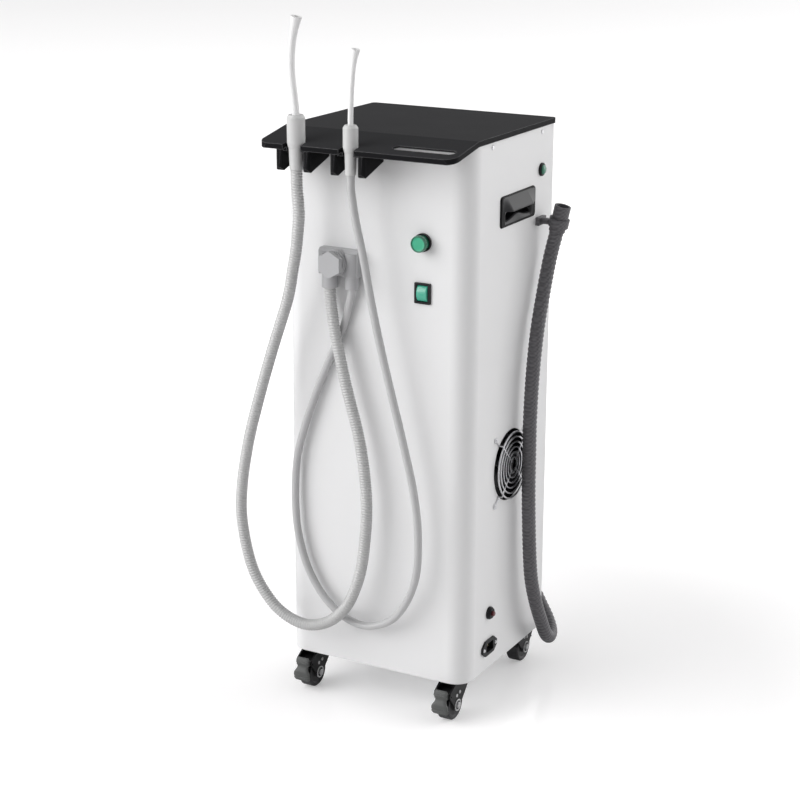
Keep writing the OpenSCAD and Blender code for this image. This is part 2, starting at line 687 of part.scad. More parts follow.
// Rocker: an arched pad on two short trunnions, standing at the off tilt
module switch_rocker() color([0.2, 0.68, 0.5]) in_frame() on_front(lamp_x, switch_z)
    translate([0, 0, rocker_pivot]) rotate([-rocker_throw / 2, 0, 0]) {
        rotate([0, 90, 0]) linear_extrude(rocker_w, center = true) polygon([
            [3, -rocker_h / 2 + 2.5], [-2.5, -rocker_h / 2 + 0.5], [-4, -rocker_h / 4], [-3.2, 0],
            [-4, rocker_h / 4], [-2.5, rocker_h / 2 - 0.5], [3, rocker_h / 2 - 2.5]]);
        rotate([0, 90, 0]) cylinder(r = 1.2, h = rocker_w + 2, center = true);
    }

/* Side push button */
button_cap_r = button_d / 2 - 2.6;
module side_button_bezel() color([0.08, 0.08, 0.09]) in_frame() on_right(button_y, button_z) difference() {
    union() {
        cylinder(r = button_d / 2, h = 2.5);
        translate([0, 0, 2.5]) cylinder(r1 = button_d / 2, r2 = button_d / 2 - 1.2, h = 1.2);
        translate([0, 0, -20]) cylinder(r = button_barrel_r, h = 20.5);
        translate([0, 0, -sheet_t - 4]) cylinder(r = button_barrel_r + 3, h = 4);
    }
    translate([0, 0, -button_travel - 1]) cylinder(r = button_cap_r + 0.08, h = 12);
    translate([0, 0, -14]) cylinder(r = 3.3, h = 16);
}

module side_button() color([0.12, 0.5, 0.36]) in_frame() on_right(button_y, button_z) {
    translate([0, 0, -0.5]) cylinder(r = button_cap_r, h = 5);
    translate([0, 0, 4.5]) cylinder(r1 = button_cap_r, r2 = button_cap_r - 2, h = 1.6);
    translate([0, 0, 6.1]) cylinder(r1 = button_cap_r - 2, r2 = button_cap_r - 5, h = 0.8);
    translate([0, 0, -10]) cylinder(r = 3, h = 11);
}

/* Breaker */
breaker_cap_r = breaker_d / 2 - 6;
module breaker_bush() color([0.08, 0.08, 0.09]) in_frame() on_right(-breaker_y, breaker_z) difference() {
    union() {
        cylinder(r = breaker_d / 2, h = 3);
        translate([0, 0, 3]) cylinder(r1 = breaker_d / 2, r2 = breaker_d / 2 - 2, h = 3);
        translate([0, 0, -16]) cylinder(r = breaker_barrel_r, h = 17);
        translate([0, 0, -sheet_t - 4]) cylinder(r = breaker_barrel_r + 3, h = 4);
    }
    translate([0, 0, -8]) cylinder(r = breaker_cap_r + 0.08, h = 16);
}

module breaker_button() color([0.35, 0.07, 0.08]) in_frame() on_right(-breaker_y, breaker_z) {
    translate([0, 0, -5]) cylinder(r = breaker_cap_r, h = 14);
    translate([0, 0, 9]) cylinder(r1 = breaker_cap_r, r2 = breaker_cap_r - 1, h = 1);
}

/* Power inlet */
module power_inlet() color([0.07, 0.07, 0.08]) in_frame() on_right(-breaker_y, inlet_z) difference() {
    union() {
        linear_extrude(3) polygon([for (p = [[1, -0.32], [1, 0.32], [0.56, 1], [-0.56, 1], [-1, 0.32],
            [-1, -0.32], [-0.56, -1], [0.56, -1]]) [p[0] * inlet_w / 2, p[1] * inlet_h / 2]]);
        translate([0, 0, -10]) cube([inlet_body_w, inlet_body_h, 22], center = true);
    }
    translate([0, 0, -6]) linear_extrude(12) rounded(inlet_body_w - 4, inlet_body_h - 4.5, 2);
    translate([0, 0, -16]) linear_extrude(12) rounded(inlet_body_w - 4, inlet_body_h - 4.5, 2);
    for (i = [-1, 1]) translate([i * inlet_pitch / 2, 0, -4]) cylinder(r = inlet_screw_r + hole_gap, h = 8);
}

module inlet_pins() color([0.75, 0.72, 0.6]) in_frame() on_right(-breaker_y, inlet_z)
    for (p = [[-7, -1.8], [0, 2], [7, -1.8]])
        translate([p[0], p[1], -10]) cube([2, 4, 12], center = true);

module inlet_screws() color([0.7, 0.7, 0.72]) in_frame()
    for (i = [-1, 1]) on_right(-breaker_y + i * inlet_pitch / 2, inlet_z) translate([0, 0, 3])
        rotate([180, 0, 0]) pan_screw(inlet_screw_r, 9);

/* Carry handles */
// A bezel with a hood over the finger opening and a cup behind the sheet
module carry_handle() on_right(handle_y, handle_z) {
    wall = 2;
    hood_l = handle_l - 10;
    difference() {
        union() {
            linear_extrude(2.5) rounded(handle_l, handle_h, 6);
            translate([0, 0, -cup_depth / 2]) cube([cup_l, cup_h, cup_depth + eps], center = true);
        }
        translate([0, -1, -cup_depth / 2 + wall]) cube([cup_l - 2 * wall, cup_h - 2 * wall - 2, cup_depth + 8],
            center = true);
    }
    // Hood: a sloping roof and two end walls
    rotate([90, 0, 90]) linear_extrude(hood_l, center = true) polygon([[handle_h / 2 - 2, 2],
        [handle_h / 2 - 2, 2.6], [3, handle_out], [0, handle_out - 0.5], [0, handle_out - 3],
        [handle_h / 2 - 6, 0.5]]);
    for (s = [-1, 1]) translate([s * (hood_l / 2 - 1.25), 0, 0]) rotate([90, 0, 90])
        linear_extrude(2.5, center = true) polygon([[handle_h / 2 - 2, 2], [handle_h / 2 - 2, 2.6],
            [3, handle_out], [0, handle_out - 0.5], [-10, 2.5], [-10, 2]]);
}

module carry_handle_right() color([0.1, 0.1, 0.11]) in_frame() carry_handle();
module carry_handle_left() color([0.1, 0.1, 0.11]) in_frame() mirror([1, 0, 0]) carry_handle();

/* Fan */
guard_r = fan_size / 2 - 4;
module fan_guard() color([0.75, 0.75, 0.77]) in_frame() on_right(fan_y, fan_z) {
    for (r = [12:8:guard_r]) translate([0, 0, guard_out - guard_wire]) difference() {
        cylinder(r = r + guard_wire / 2, h = guard_wire);
        translate([0, 0, -1]) cylinder(r = r - guard_wire / 2, h = guard_wire + 2);
    }
    for (a = [0:3]) rotate([0, 0, 45 + 90 * a]) {
        translate([9, -guard_wire / 2, guard_out - guard_wire]) cube([guard_r - 8, guard_wire, guard_wire]);
        translate([guard_r, -guard_wire / 2, 0]) cube([guard_wire, guard_wire, guard_out]);
        translate([guard_r, -guard_wire / 2, 0])
            cube([fan_pitch / sqrt(2) - guard_r - 3, guard_wire, guard_wire]);
        translate([fan_pitch / sqrt(2), 0, 0]) difference() {
            cylinder(r = 4.5, h = 2);
            translate([0, 0, -1]) cylinder(r = fan_screw_r + hole_gap, h = 4);
        }
    }
}

module fan_frame() color([0.12, 0.12, 0.13]) in_frame() on_right(fan_y, fan_z)
    translate([0, 0, -sheet_t - fan_depth]) difference() {
        union() {
            difference() {
                linear_extrude(fan_depth) rounded(fan_size, fan_size, 6);
                translate([0, 0, -1]) cylinder(r = fan_size / 2 - 3, h = fan_depth + 2);
            }
            // Four struts carry the motor hub on the inner face
            for (a = [0:3]) rotate([0, 0, 20 + 90 * a]) translate([0, -2.5, 0]) cube([fan_size / 2 - 1, 5, 3]);
            cylinder(r = 21, h = 3);
            cylinder(r = 3, h = fan_depth - 6);
        }
        for (i = [-1, 1], k = [-1, 1]) translate([i * fan_pitch / 2, k * fan_pitch / 2, -1])
            cylinder(r = fan_screw_r + hole_gap, h = fan_depth + 2);
    }

module fan_rotor() color([0.15, 0.15, 0.16]) in_frame() on_right(fan_y, fan_z)
    translate([0, 0, -sheet_t - fan_depth]) difference() {
        union() {
            translate([0, 0, 4]) cylinder(r = 20, h = fan_depth - 6);
            intersection() {
                for (a = [0:6]) rotate([0, 0, a * 360 / 7]) translate([18, 0, fan_depth / 2 + 1])
                    rotate([38, 0, 0]) translate([0, -12, -0.9]) cube([50, 24, 1.8]);
                translate([0, 0, 5]) difference() {
                    cylinder(r = fan_size / 2 - 5, h = fan_depth - 8);
                    translate([0, 0, -1]) cylinder(r = 17, h = fan_depth);
                }
            }
        }
        translate([0, 0, 3]) cylinder(r = 3 + run_gap, h = fan_depth - 8);
    }

module fan_screws() color([0.75, 0.75, 0.77]) in_frame()
    for (i = [-1, 1], k = [-1, 1]) on_right(fan_y + i * fan_pitch / 2, fan_z + k * fan_pitch / 2)
        translate([0, 0, 2]) rotate([180, 0, 0]) pan_screw(fan_screw_r, 14);

/* Suction manifold */
cap_bore_r = 13;
cap_neck = 10;
module manifold_block() color([0.7, 0.7, 0.71]) in_frame() {
    c = 4;
    difference() {
        union() {
            translate([manifold_x, 0, manifold_z]) rotate([90, 0, 90]) linear_extrude(manifold_w)
                polygon([[front_y, 0], [front_y, manifold_h], [front_y - manifold_d + c, manifold_h],
                    [front_y - manifold_d, manifold_h - c], [front_y - manifold_d, 0]]);
            translate([port_large_x, port_large_y, manifold_z]) cylinder(r = cuff_large_d / 2, h = manifold_h - 8);
            translate([port_small_x, port_small_y, manifold_z]) cylinder(r = cuff_small_d / 2 + 0.5, h = manifold_h - c);
            for (x = [port_large_x, port_small_x]) on_front(x, manifold_z + manifold_h / 2)
                translate([0, 0, -8]) cylinder(r = port_r, h = 10);
            // Grooved collar that the filter cap turns on
            translate([cap_x, front_y - manifold_d + 1, cap_z]) rotate([90, 0, 0]) {
                cylinder(r = cap_flats / 2 + 2, h = 5);
                cylinder(r = cap_flats / 2 + 0.5, h = 8);
                translate([0, 0, 7]) cylinder(r = cap_flats / 2 + 2, h = cap_neck - 6);
            }
        }
        // Face and bore for the filter cap
        translate([cap_x, front_y - manifold_d - cap_neck, cap_z]) rotate([90, 0, 0])
            cylinder(r = cap_flats / 2 + 3.5, h = 12);
        translate([cap_x, front_y - manifold_d - cap_neck - 1, cap_z]) rotate([-90, 0, 0])
            cylinder(r = cap_bore_r + run_gap, h = cap_neck + 9);
    }
    translate([port_large_x, port_large_y, manifold_z - 6]) cylinder(r = hose_large_bore * 0.4, h = 6.5);
    translate([port_small_x, port_small_y, manifold_z - 6]) cylinder(r = hose_small_bore * 0.4, h = 6.5);
}

module filter_cap() color([0.72, 0.72, 0.73]) in_frame()
    translate([cap_x, front_y - manifold_d - cap_neck - slip, cap_z]) rotate([90, 0, 0]) {
        hex_r = cap_flats / 2 / cos(30);
        depth = cap_d - cap_neck;
        cylinder(r = cap_flats / 2 + 1, h = 4);
        translate([0, 0, 3]) cylinder(r = cap_flats / 2 - 1, h = 3);
        intersection() {
            translate([0, 0, 5]) rotate([0, 0, 30]) cylinder(r = hex_r, h = depth - 5, $fn = 6);
            translate([0, 0, 5]) cylinder(r = hex_r - 0.2, h = depth - 5);
        }
        translate([0, 0, -16]) cylinder(r = cap_bore_r, h = 17);
    }

// Cuffs that clamp the hose ends on the manifold spigots
module hose_cuffs() color([0.6, 0.6, 0.61]) in_frame() {
    for (c = [[port_large_x, port_large_y, cuff_large_d, hose_large_d],
            [port_small_x, port_small_y, cuff_small_d, hose_small_d]])
        translate([c[0], c[1], manifold_z - cuff_len]) difference() {
            cylinder(r = c[2] / 2, h = cuff_len - 0.05);
            translate([0, 0, -1]) cylinder(r = c[3] / 2 + slip, h = cuff_len + 2);
        }
}

module large_hose() color([0.86, 0.86, 0.86]) in_frame()
    ribbed_hose(fitted(large_route), hose_large_d, hose_large_bore, ribs_large);

module small_hose() color([0.84, 0.84, 0.84]) in_frame()
    plain_hose(fitted(small_route), hose_small_d, hose_small_bore, 60);

/* Handpieces */
// A turned body: seat shoulder above, slim tail below, open bore all through
module handpiece(x, d, tail_d, top, bore, tip_d) translate([x, holder_y, 0]) {
    r = d / 2;
    s = seat_r(d);
    rotate_extrude() polygon([[bore / 2, tail_z], [tail_d / 2, tail_z], [tail_d / 2, tail_z + 3],
        [s - 0.4, saddle_z - 4], [s, saddle_z], [s, saddle_z + 0.2], [s + 0.5, saddle_z + 0.5],
        [r, saddle_z + 7], [r, top - 4],
        [r - 2.6, top], [tip_d / 2 + slip, top], [tip_d / 2 + slip, top - tip_seat - 1],
        [bore / 2, top - tip_seat - 1]]);
}

module large_handpiece() color([0.88, 0.88, 0.88]) in_frame()
    handpiece(holder_x1, large_d, large_tail_d, large_top_z, 8, large_tip_d);
module small_handpiece() color([0.86, 0.86, 0.86]) in_frame()
    handpiece(holder_x2, small_d, small_tail_d, small_top_z, 5, small_tip_d);

// A bent tip: straight where it seats, a slight set in the middle, flared end
module suction_tip(x, d, seat_z, end_z, bow, lean, flare) translate([x, holder_y, 0]) {
    n = 16;
    free = end_z - seat_z - tip_seat;
    curve = concat([[0, 0, seat_z]], [for (i = [0:n]) let (t = i / n)
        [-bow * sin(180 * t) * sin(90 * t + 20) + lean * t * t * t, 0, seat_z + tip_seat + free * t]]);
    radii = concat([d / 2], [for (i = [0:n]) let (t = i / n) d / 2 + flare * pow(max(0, t - 0.78) / 0.22, 1.5)]);
    tube_along(curve, radii, d / 2 - tip_wall, 16);
}

module large_tip() color([0.95, 0.95, 0.95]) in_frame()
    suction_tip(holder_x1, large_tip_d, large_top_z - tip_seat, large_tip_z, 8, 3, 2.6);
module small_tip() color([0.95, 0.95, 0.95]) in_frame()
    suction_tip(holder_x2, small_tip_d, small_top_z - tip_seat, small_tip_z, -1, 9, 2.4);

/* Drain hose and its clip */
module in_clip() {
    translate([side_x + clip_out, clip_y, clip_z]) rotate([0, clip_tilt, 0]) children();
}

module hose_clip() color([0.4, 0.4, 0.42]) in_frame() {
    difference() {
        union() {
            in_clip() cylinder(r = ring_r, h = clip_w, center = true);
            translate([side_x, clip_y - 5, clip_z - 4]) cube([clip_out - drain_cuff_d / 2, 10, 8]);
            translate([side_x, clip_y - 13, clip_z - 6]) cube([6, 26, 12]);
        }
        in_clip() cylinder(r = drain_cuff_d / 2 + slip / 2, h = 60, center = true);
        in_clip() translate([0, 15, 0]) cube([9, 20, 60], center = true);
    }
}

// Open cuff on the free end of the drain hose
module drain_cuff() color([0.34, 0.33, 0.35]) in_frame() in_clip() {
    low = -14;
    difference() {
        translate([0, 0, low]) cylinder(r = drain_cuff_d / 2, h = drain_cuff_len);
        translate([0, 0, low + 12]) cylinder(r = drain_bore_d / 2, h = drain_cuff_len);
        translate([0, 0, low - 1]) cylinder(r = hose_drain_bore / 2, h = 20);
    }
}

module drain_hose() color([0.38, 0.37, 0.39]) in_frame()
    ribbed_hose(fitted(drain_route), hose_drain_d, hose_drain_bore, ribs_drain);

// Elbow on the rear panel that turns the outlet down into the drain hose
module outlet_elbow() color([0.35, 0.35, 0.36]) in_frame() {
    difference() {
        union() {
            translate([outlet_x, rear_y, outlet_z]) rotate([-90, 0, 0]) cylinder(r = elbow_r + 6, h = 4);
            translate([outlet_x, rear_y - 10, outlet_z]) rotate([-90, 0, 0])
                cylinder(r = elbow_r - 4, h = elbow_out + 10);
            translate([outlet_x, rear_y + elbow_out, outlet_z]) sphere(r = elbow_r);
            translate([outlet_x, rear_y + elbow_out, outlet_z - 26]) cylinder(r = elbow_r - 0.5, h = 26);
        }
        translate([outlet_x, rear_y + elbow_out, outlet_z - 27]) cylinder(r = 7, h = 27);
        translate([outlet_x, rear_y - 11, outlet_z]) rotate([-90, 0, 0]) cylinder(r = 6, h = elbow_out + 11);
    }
}

/* Casters */
plate_t = 2.5;
web_t = 3.2;
web_z = caster_h - plate_t - 0.3 - web_t;
cheek_in = wheel_w / 2 + 1.2;
hood_in = wheel_r + 1.5;
hood_out = hood_in + 2;
pedal_pivot = [trail + 22.5, 46];
pedal_pin_r = 1.6;
pedal_w = 2 * cheek_in + 2 * fork_t - 1;
corners = [[-1, -1], [1, -1], [-1, 1], [1, 1]];

function pin_xy(c) = [c[0] * (side_x - caster_in_x), c[1] * (body_d / 2 - caster_in_y)];

// A caster drawn with its wheel trailing along +Y, placed at one corner
module at_corner(c) {
    translate([pin_xy(c)[0], pin_xy(c)[1], 0]) mirror([0, c[1] < 0 ? 1 : 0, 0]) children();
}

module caster_plates() color([0.6, 0.6, 0.62]) in_frame() for (c = corners) at_corner(c) {
    difference() {
        translate([-21, -21, caster_h - plate_t]) cube([42, 42, plate_t]);
        for (i = [-1, 1], k = [-1, 1]) translate([i * 16, k * 16, caster_h - plate_t - 1]) cylinder(r = 2.2, h = 5);
    }
    translate([0, 0, web_z - 3]) cylinder(r = king_d / 2, h = caster_h - web_z + 3 - plate_t + eps);
    translate([0, 0, web_z - 2.7]) cylinder(r = king_d / 2 + 2, h = 2.4);
}

// Fork: a round web under the plate, two cheeks and a hood over the wheel
module fork(braked) {
    difference() {
        union() {
            translate([0, 0, web_z]) cylinder(r = 19, h = web_t);
            translate([-cheek_in - fork_t, 0, web_z]) cube([2 * (cheek_in + fork_t), trail + 6, web_t]);
            for (s = [-1, 1]) translate([s * (cheek_in + fork_t / 2), 0, 0]) rotate([90, 0, 90])
                linear_extrude(fork_t, center = true) {
                    polygon([[-20, web_z + web_t], [trail + 8, web_z + web_t], [trail + 24, web_z - 6],
                        [trail + 26.5, web_z - 12], [trail + 22, web_z - 18], [trail + 8, wheel_r - 4],
                        [trail - 8, wheel_r - 4], [-8, web_z - 16], [-18, web_z - 4]]);
                    translate([trail, wheel_r]) circle(8.5);
                }
            // Hood over the wheel, between the cheeks
            translate([0, trail, wheel_r]) rotate([0, 90, 0]) difference() {
                cylinder(r = hood_out, h = 2 * cheek_in + 1, center = true);
                cylinder(r = hood_in, h = 2 * cheek_in + 2, center = true);
                translate([-8, -40, -40]) cube([80, 80, 80]);
            }
        }
        translate([0, 0, web_z - 1]) cylinder(r = king_d / 2 + run_gap, h = web_t + 2);
        translate([0, 0, web_z - 6]) cylinder(r = king_d / 2 + 2.4, h = 6 - eps);
        translate([0, trail, wheel_r]) rotate([0, 90, 0]) cylinder(r = axle_d / 2 + 0.05, h = 60, center = true);
        if (braked) translate([0, pedal_pivot[0], pedal_pivot[1]]) rotate([0, 90, 0])
            cylinder(r = pedal_pin_r + run_gap, h = 60, center = true);
    }
}

module axle() translate([0, trail, wheel_r]) rotate([0, 90, 0]) {
    half = cheek_in + fork_t;
    cylinder(r = axle_d / 2, h = 2 * half, center = true);
    for (s = [-1, 1]) translate([0, 0, s * (half + 1.3)]) cylinder(r = axle_d / 2 + 1.8, h = 2.5, center = true);
}

module wheel() translate([0, trail, wheel_r]) rotate([0, 90, 0]) difference() {
    rotate_extrude() polygon([[axle_d / 2 + run_gap, -wheel_w / 2], [10, -wheel_w / 2], [10, -wheel_w / 2 + 2],
        [wheel_r - 7, -wheel_w / 2 + 2], [wheel_r - 5, -wheel_w / 2], [wheel_r - 2, -wheel_w / 2],
        [wheel_r, -wheel_w / 2 + 2], [wheel_r, wheel_w / 2 - 2], [wheel_r - 2, wheel_w / 2],
        [wheel_r - 5, wheel_w / 2], [wheel_r - 7, wheel_w / 2 - 2], [10, wheel_w / 2 - 2],
        [10, wheel_w / 2], [axle_d / 2 + run_gap, wheel_w / 2]]);
}

// Wavy brake pedal in front of the wheel, on a pin between the fork cheeks
module pedal() translate([0, pedal_pivot[0], pedal_pivot[1]]) {
    inner = 2 * cheek_in - 0.8;
    rotate([90, 0, 90]) linear_extrude(pedal_w, center = true) polygon([[4.5, 9], [7.5, 9.5], [9.5, 5], [9, 0],
        [11.5, -6], [12.5, -12], [11.5, -17], [12.5, -22], [11.5, -26], [8.5, -27], [7.5, -22], [7, -14],
        [6.5, -6], [4.5, 0]]);
    rotate([90, 0, 90]) linear_extrude(inner, center = true) polygon([[-1.2, -2], [-1.2, 2.6], [6, 5], [6, -4]]);
    rotate([0, 90, 0]) cylinder(r = pedal_pin_r, h = 2 * cheek_in + 2 * fork_t, center = true);
}

module front_left_fork() color([0.07, 0.07, 0.08]) in_frame() at_corner(corners[0]) fork(true);
module front_right_fork() color([0.07, 0.07, 0.08]) in_frame() at_corner(corners[1]) fork(true);
module rear_left_fork() color([0.07, 0.07, 0.08]) in_frame() at_corner(corners[2]) fork(false);
module rear_right_fork() color([0.07, 0.07, 0.08]) in_frame() at_corner(corners[3]) fork(false);
module front_left_axle() color([0.65, 0.65, 0.66]) in_frame() at_corner(corners[0]) axle();
module front_right_axle() color([0.65, 0.65, 0.66]) in_frame() at_corner(corners[1]) axle();
module rear_left_axle() color([0.65, 0.65, 0.66]) in_frame() at_corner(corners[2]) axle();
module rear_right_axle() color([0.65, 0.65, 0.66]) in_frame() at_corner(corners[3]) axle();
module front_left_wheel() color([0.1, 0.1, 0.11]) in_frame() at_corner(corners[0]) wheel();
module front_right_wheel() color([0.1, 0.1, 0.11]) in_frame() at_corner(corners[1]) wheel();
module rear_left_wheel() color([0.1, 0.1, 0.11]) in_frame() at_corner(corners[2]) wheel();
module rear_right_wheel() color([0.1, 0.1, 0.11]) in_frame() at_corner(corners[3]) wheel();
module front_left_pedal() color([0.38, 0.39, 0.38]) in_frame() at_corner(corners[0]) pedal();
module front_right_pedal() color([0.38, 0.39, 0.38]) in_frame() at_corner(corners[1]) pedal();

/* Inside */
motor_x = -30;
motor_y = 10;
motor_z = body_z + tray_t + mount_h;
tank_x = -30;
tank_y = 5;
tank_z = shelf_z + tray_t;
lid_h = 12;
lid_z = tank_z + tank_h;
inlet_pipe_h = 16;
shaft_r = 4;
shelf_hole_y = 90;

module suction_motor() color([0.5, 0.52, 0.54]) in_frame() translate([motor_x, motor_y, motor_z]) {
    difference() {
        union() {
            cylinder(r = motor_d / 2, h = motor_h);
            translate([0, 0, motor_h]) cylinder(r = 14, h = inlet_pipe_h);
            translate([motor_d / 2 - 6, 0, 24]) rotate([0, 90, 0]) cylinder(r = 14, h = 30);
        }
        translate([0, 0, 8]) cylinder(r = motor_d / 2 - 4, h = 34);
        translate([0, 0, 60]) cylinder(r = 9, h = motor_h);
    }
    translate([0, 0, 7.5]) cylinder(r = shaft_r, h = 35);
    // Feet on rubber mounts
    for (a = [0:3]) rotate([0, 0, 45 + 90 * a]) translate([motor_d / 2 - 14, 0, -mount_h])
        cylinder(r = 9, h = mount_h);
}

module motor_impeller() color([0.7, 0.7, 0.72]) in_frame() translate([motor_x, motor_y, motor_z])
    difference() {
        union() {
            translate([0, 0, 10]) cylinder(r = motor_d / 2 - 7, h = 3);
            translate([0, 0, 10]) cylinder(r = 12, h = 30);
            for (a = [0:8]) rotate([0, 0, 40 * a]) translate([10, -1.2, 12]) cube([motor_d / 2 - 20, 2.4, 24]);
        }
        translate([0, 0, 9]) cylinder(r = shaft_r + run_gap, h = 32);
    }

module separator_tank() color([0.8, 0.85, 0.88, 0.6]) in_frame() translate([tank_x, tank_y, tank_z]) difference() {
    cylinder(r = tank_d / 2, h = tank_h);
    translate([0, 0, tank_wall]) cylinder(r = tank_d / 2 - tank_wall, h = tank_h);
}

nipple_h = 14;
module tank_lid() color([0.2, 0.2, 0.21]) in_frame() translate([tank_x, tank_y, lid_z]) {
    cylinder(r = tank_d / 2 + 3, h = lid_h);
    for (p = [[port_large_x - tank_x, -25], [30, -45], [0, 30]]) translate([p[0], p[1], lid_h]) cylinder(r = pipe_d / 2, h = nipple_h);
}

module control_box() color([0.75, 0.76, 0.74]) in_frame()
    translate([-side_x + sheet_t, -30, shelf_z + 60]) difference() {
        cube([42, 90, 130]);
        translate([2, 2, 2]) cube([38, 86, 126]);
    }

// A bent pipe through its points, with a fuller joint at each bend
module pipe(pts, r) {
    for (i = [0:len(pts) - 2]) let (v = pts[i + 1] - pts[i], l = norm(v))
        translate(pts[i]) rotate([0, acos(v[2] / l), atan2(v[1], v[0])]) cylinder(r = r, h = l);
    for (i = [1:1:len(pts) - 2]) translate(pts[i]) sphere(r = r + 1);
}

module internal_hoses() color([0.3, 0.3, 0.32]) in_frame() {
    r = pipe_d / 2;
    pz = manifold_z + manifold_h / 2;
    nz = lid_z + lid_h + nipple_h;
    pipe([[port_large_x, front_y + 8, pz], [port_large_x, tank_y - 25, pz], [port_large_x, tank_y - 25, nz]], r);
    pipe([[port_small_x, front_y + 8, pz], [port_small_x, tank_y - 45, pz], [tank_x + 30, tank_y - 45, pz],
        [tank_x + 30, tank_y - 45, nz]], r);
    pipe([[tank_x, tank_y + 30, nz], [tank_x, tank_y + 30, nz + 20], [tank_x, shelf_hole_y, nz + 20],
        [tank_x, shelf_hole_y, motor_z + motor_h + 40], [motor_x, motor_y, motor_z + motor_h + 40],
        [motor_x, motor_y, motor_z + motor_h + inlet_pipe_h]], r);
    pipe([[motor_x + motor_d / 2 + 24, motor_y, motor_z + 24], [outlet_x, motor_y, motor_z + 24],
        [outlet_x, motor_y, outlet_z], [outlet_x, rear_y - 10, outlet_z]], r);
}

cabinet_shell();
rear_panel();
rear_panel_screws();
base_tray();
equipment_shelf();
top_cover();
cover_screws();
pilot_lamp_bezel();
pilot_lamp_lens();
switch_frame();
switch_rocker();
side_button_bezel();
side_button();
breaker_bush();
breaker_button();
power_inlet();
inlet_pins();
inlet_screws();
carry_handle_right();
carry_handle_left();
fan_guard();
fan_frame();
fan_rotor();
fan_screws();
manifold_block();
filter_cap();
hose_cuffs();
large_hose();
small_hose();
large_handpiece();
large_tip();
small_handpiece();
small_tip();
hose_clip();
drain_hose();
drain_cuff();
outlet_elbow();
caster_plates();
front_left_fork();
front_right_fork();
rear_left_fork();
rear_right_fork();
front_left_axle();
front_right_axle();
rear_left_axle();
rear_right_axle();
front_left_wheel();
front_right_wheel();
rear_left_wheel();
rear_right_wheel();
front_left_pedal();
front_right_pedal();
suction_motor();
motor_impeller();
separator_tank();
tank_lid();
control_box();
internal_hoses();
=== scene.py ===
"""Mobile dental suction unit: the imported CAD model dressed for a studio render."""
import math

import bmesh
import bpy
from mathutils import Matrix, Vector


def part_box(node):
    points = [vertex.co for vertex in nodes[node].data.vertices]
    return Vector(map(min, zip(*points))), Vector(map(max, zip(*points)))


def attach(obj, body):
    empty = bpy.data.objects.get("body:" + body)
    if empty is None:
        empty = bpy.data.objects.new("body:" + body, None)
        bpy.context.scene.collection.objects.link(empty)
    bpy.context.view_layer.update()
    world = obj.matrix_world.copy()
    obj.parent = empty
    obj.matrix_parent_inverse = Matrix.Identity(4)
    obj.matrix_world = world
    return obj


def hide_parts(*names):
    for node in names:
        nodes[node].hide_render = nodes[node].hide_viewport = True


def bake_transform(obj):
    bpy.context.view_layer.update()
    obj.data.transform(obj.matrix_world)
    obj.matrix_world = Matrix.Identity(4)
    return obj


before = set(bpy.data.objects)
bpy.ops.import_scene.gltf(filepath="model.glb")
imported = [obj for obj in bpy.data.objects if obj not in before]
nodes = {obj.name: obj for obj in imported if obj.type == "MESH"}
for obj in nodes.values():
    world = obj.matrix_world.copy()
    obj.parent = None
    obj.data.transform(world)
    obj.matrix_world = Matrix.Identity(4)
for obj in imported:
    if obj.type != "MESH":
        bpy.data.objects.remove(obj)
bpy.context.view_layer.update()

# Camera: the photograph's view, fitted to the cabinet's edges. The part's
# origin lies off the middle of the cabinet, so body() turns millimetres from
# the cabinet's middle and the floor into the model's metres.
shell_lo, shell_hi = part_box("cabinet_shell")
middle_x = (shell_lo[0] + shell_hi[0]) / 2
middle_y = (shell_lo[1] + shell_hi[1]) / 2


def body(x, y, z):
    return Vector((middle_x + x / 1000, middle_y + y / 1000, z / 1000))


azimuth, elevation, roll = (math.radians(angle) for angle in (28.610, 16.966, 0.188))
stand = body(1336.0, -2509.1, 1327.4)
camera_data = bpy.data.cameras.new("camera")
camera_data.lens = 86.0
camera_data.sensor_width = 36.0
camera_data.clip_start = 0.1
camera_data.clip_end = 50.0
camera = bpy.data.objects.new("camera", camera_data)
bpy.context.collection.objects.link(camera)
back = Vector((math.sin(azimuth) * math.cos(elevation),
               -math.cos(azimuth) * math.cos(elevation),
               math.sin(elevation)))
look = back.to_track_quat("Z", "Y").to_matrix() @ Matrix.Rotation(roll, 3, "Z")
camera.matrix_world = Matrix.Translation(stand) @ look.to_4x4()
bpy.context.scene.camera = camera


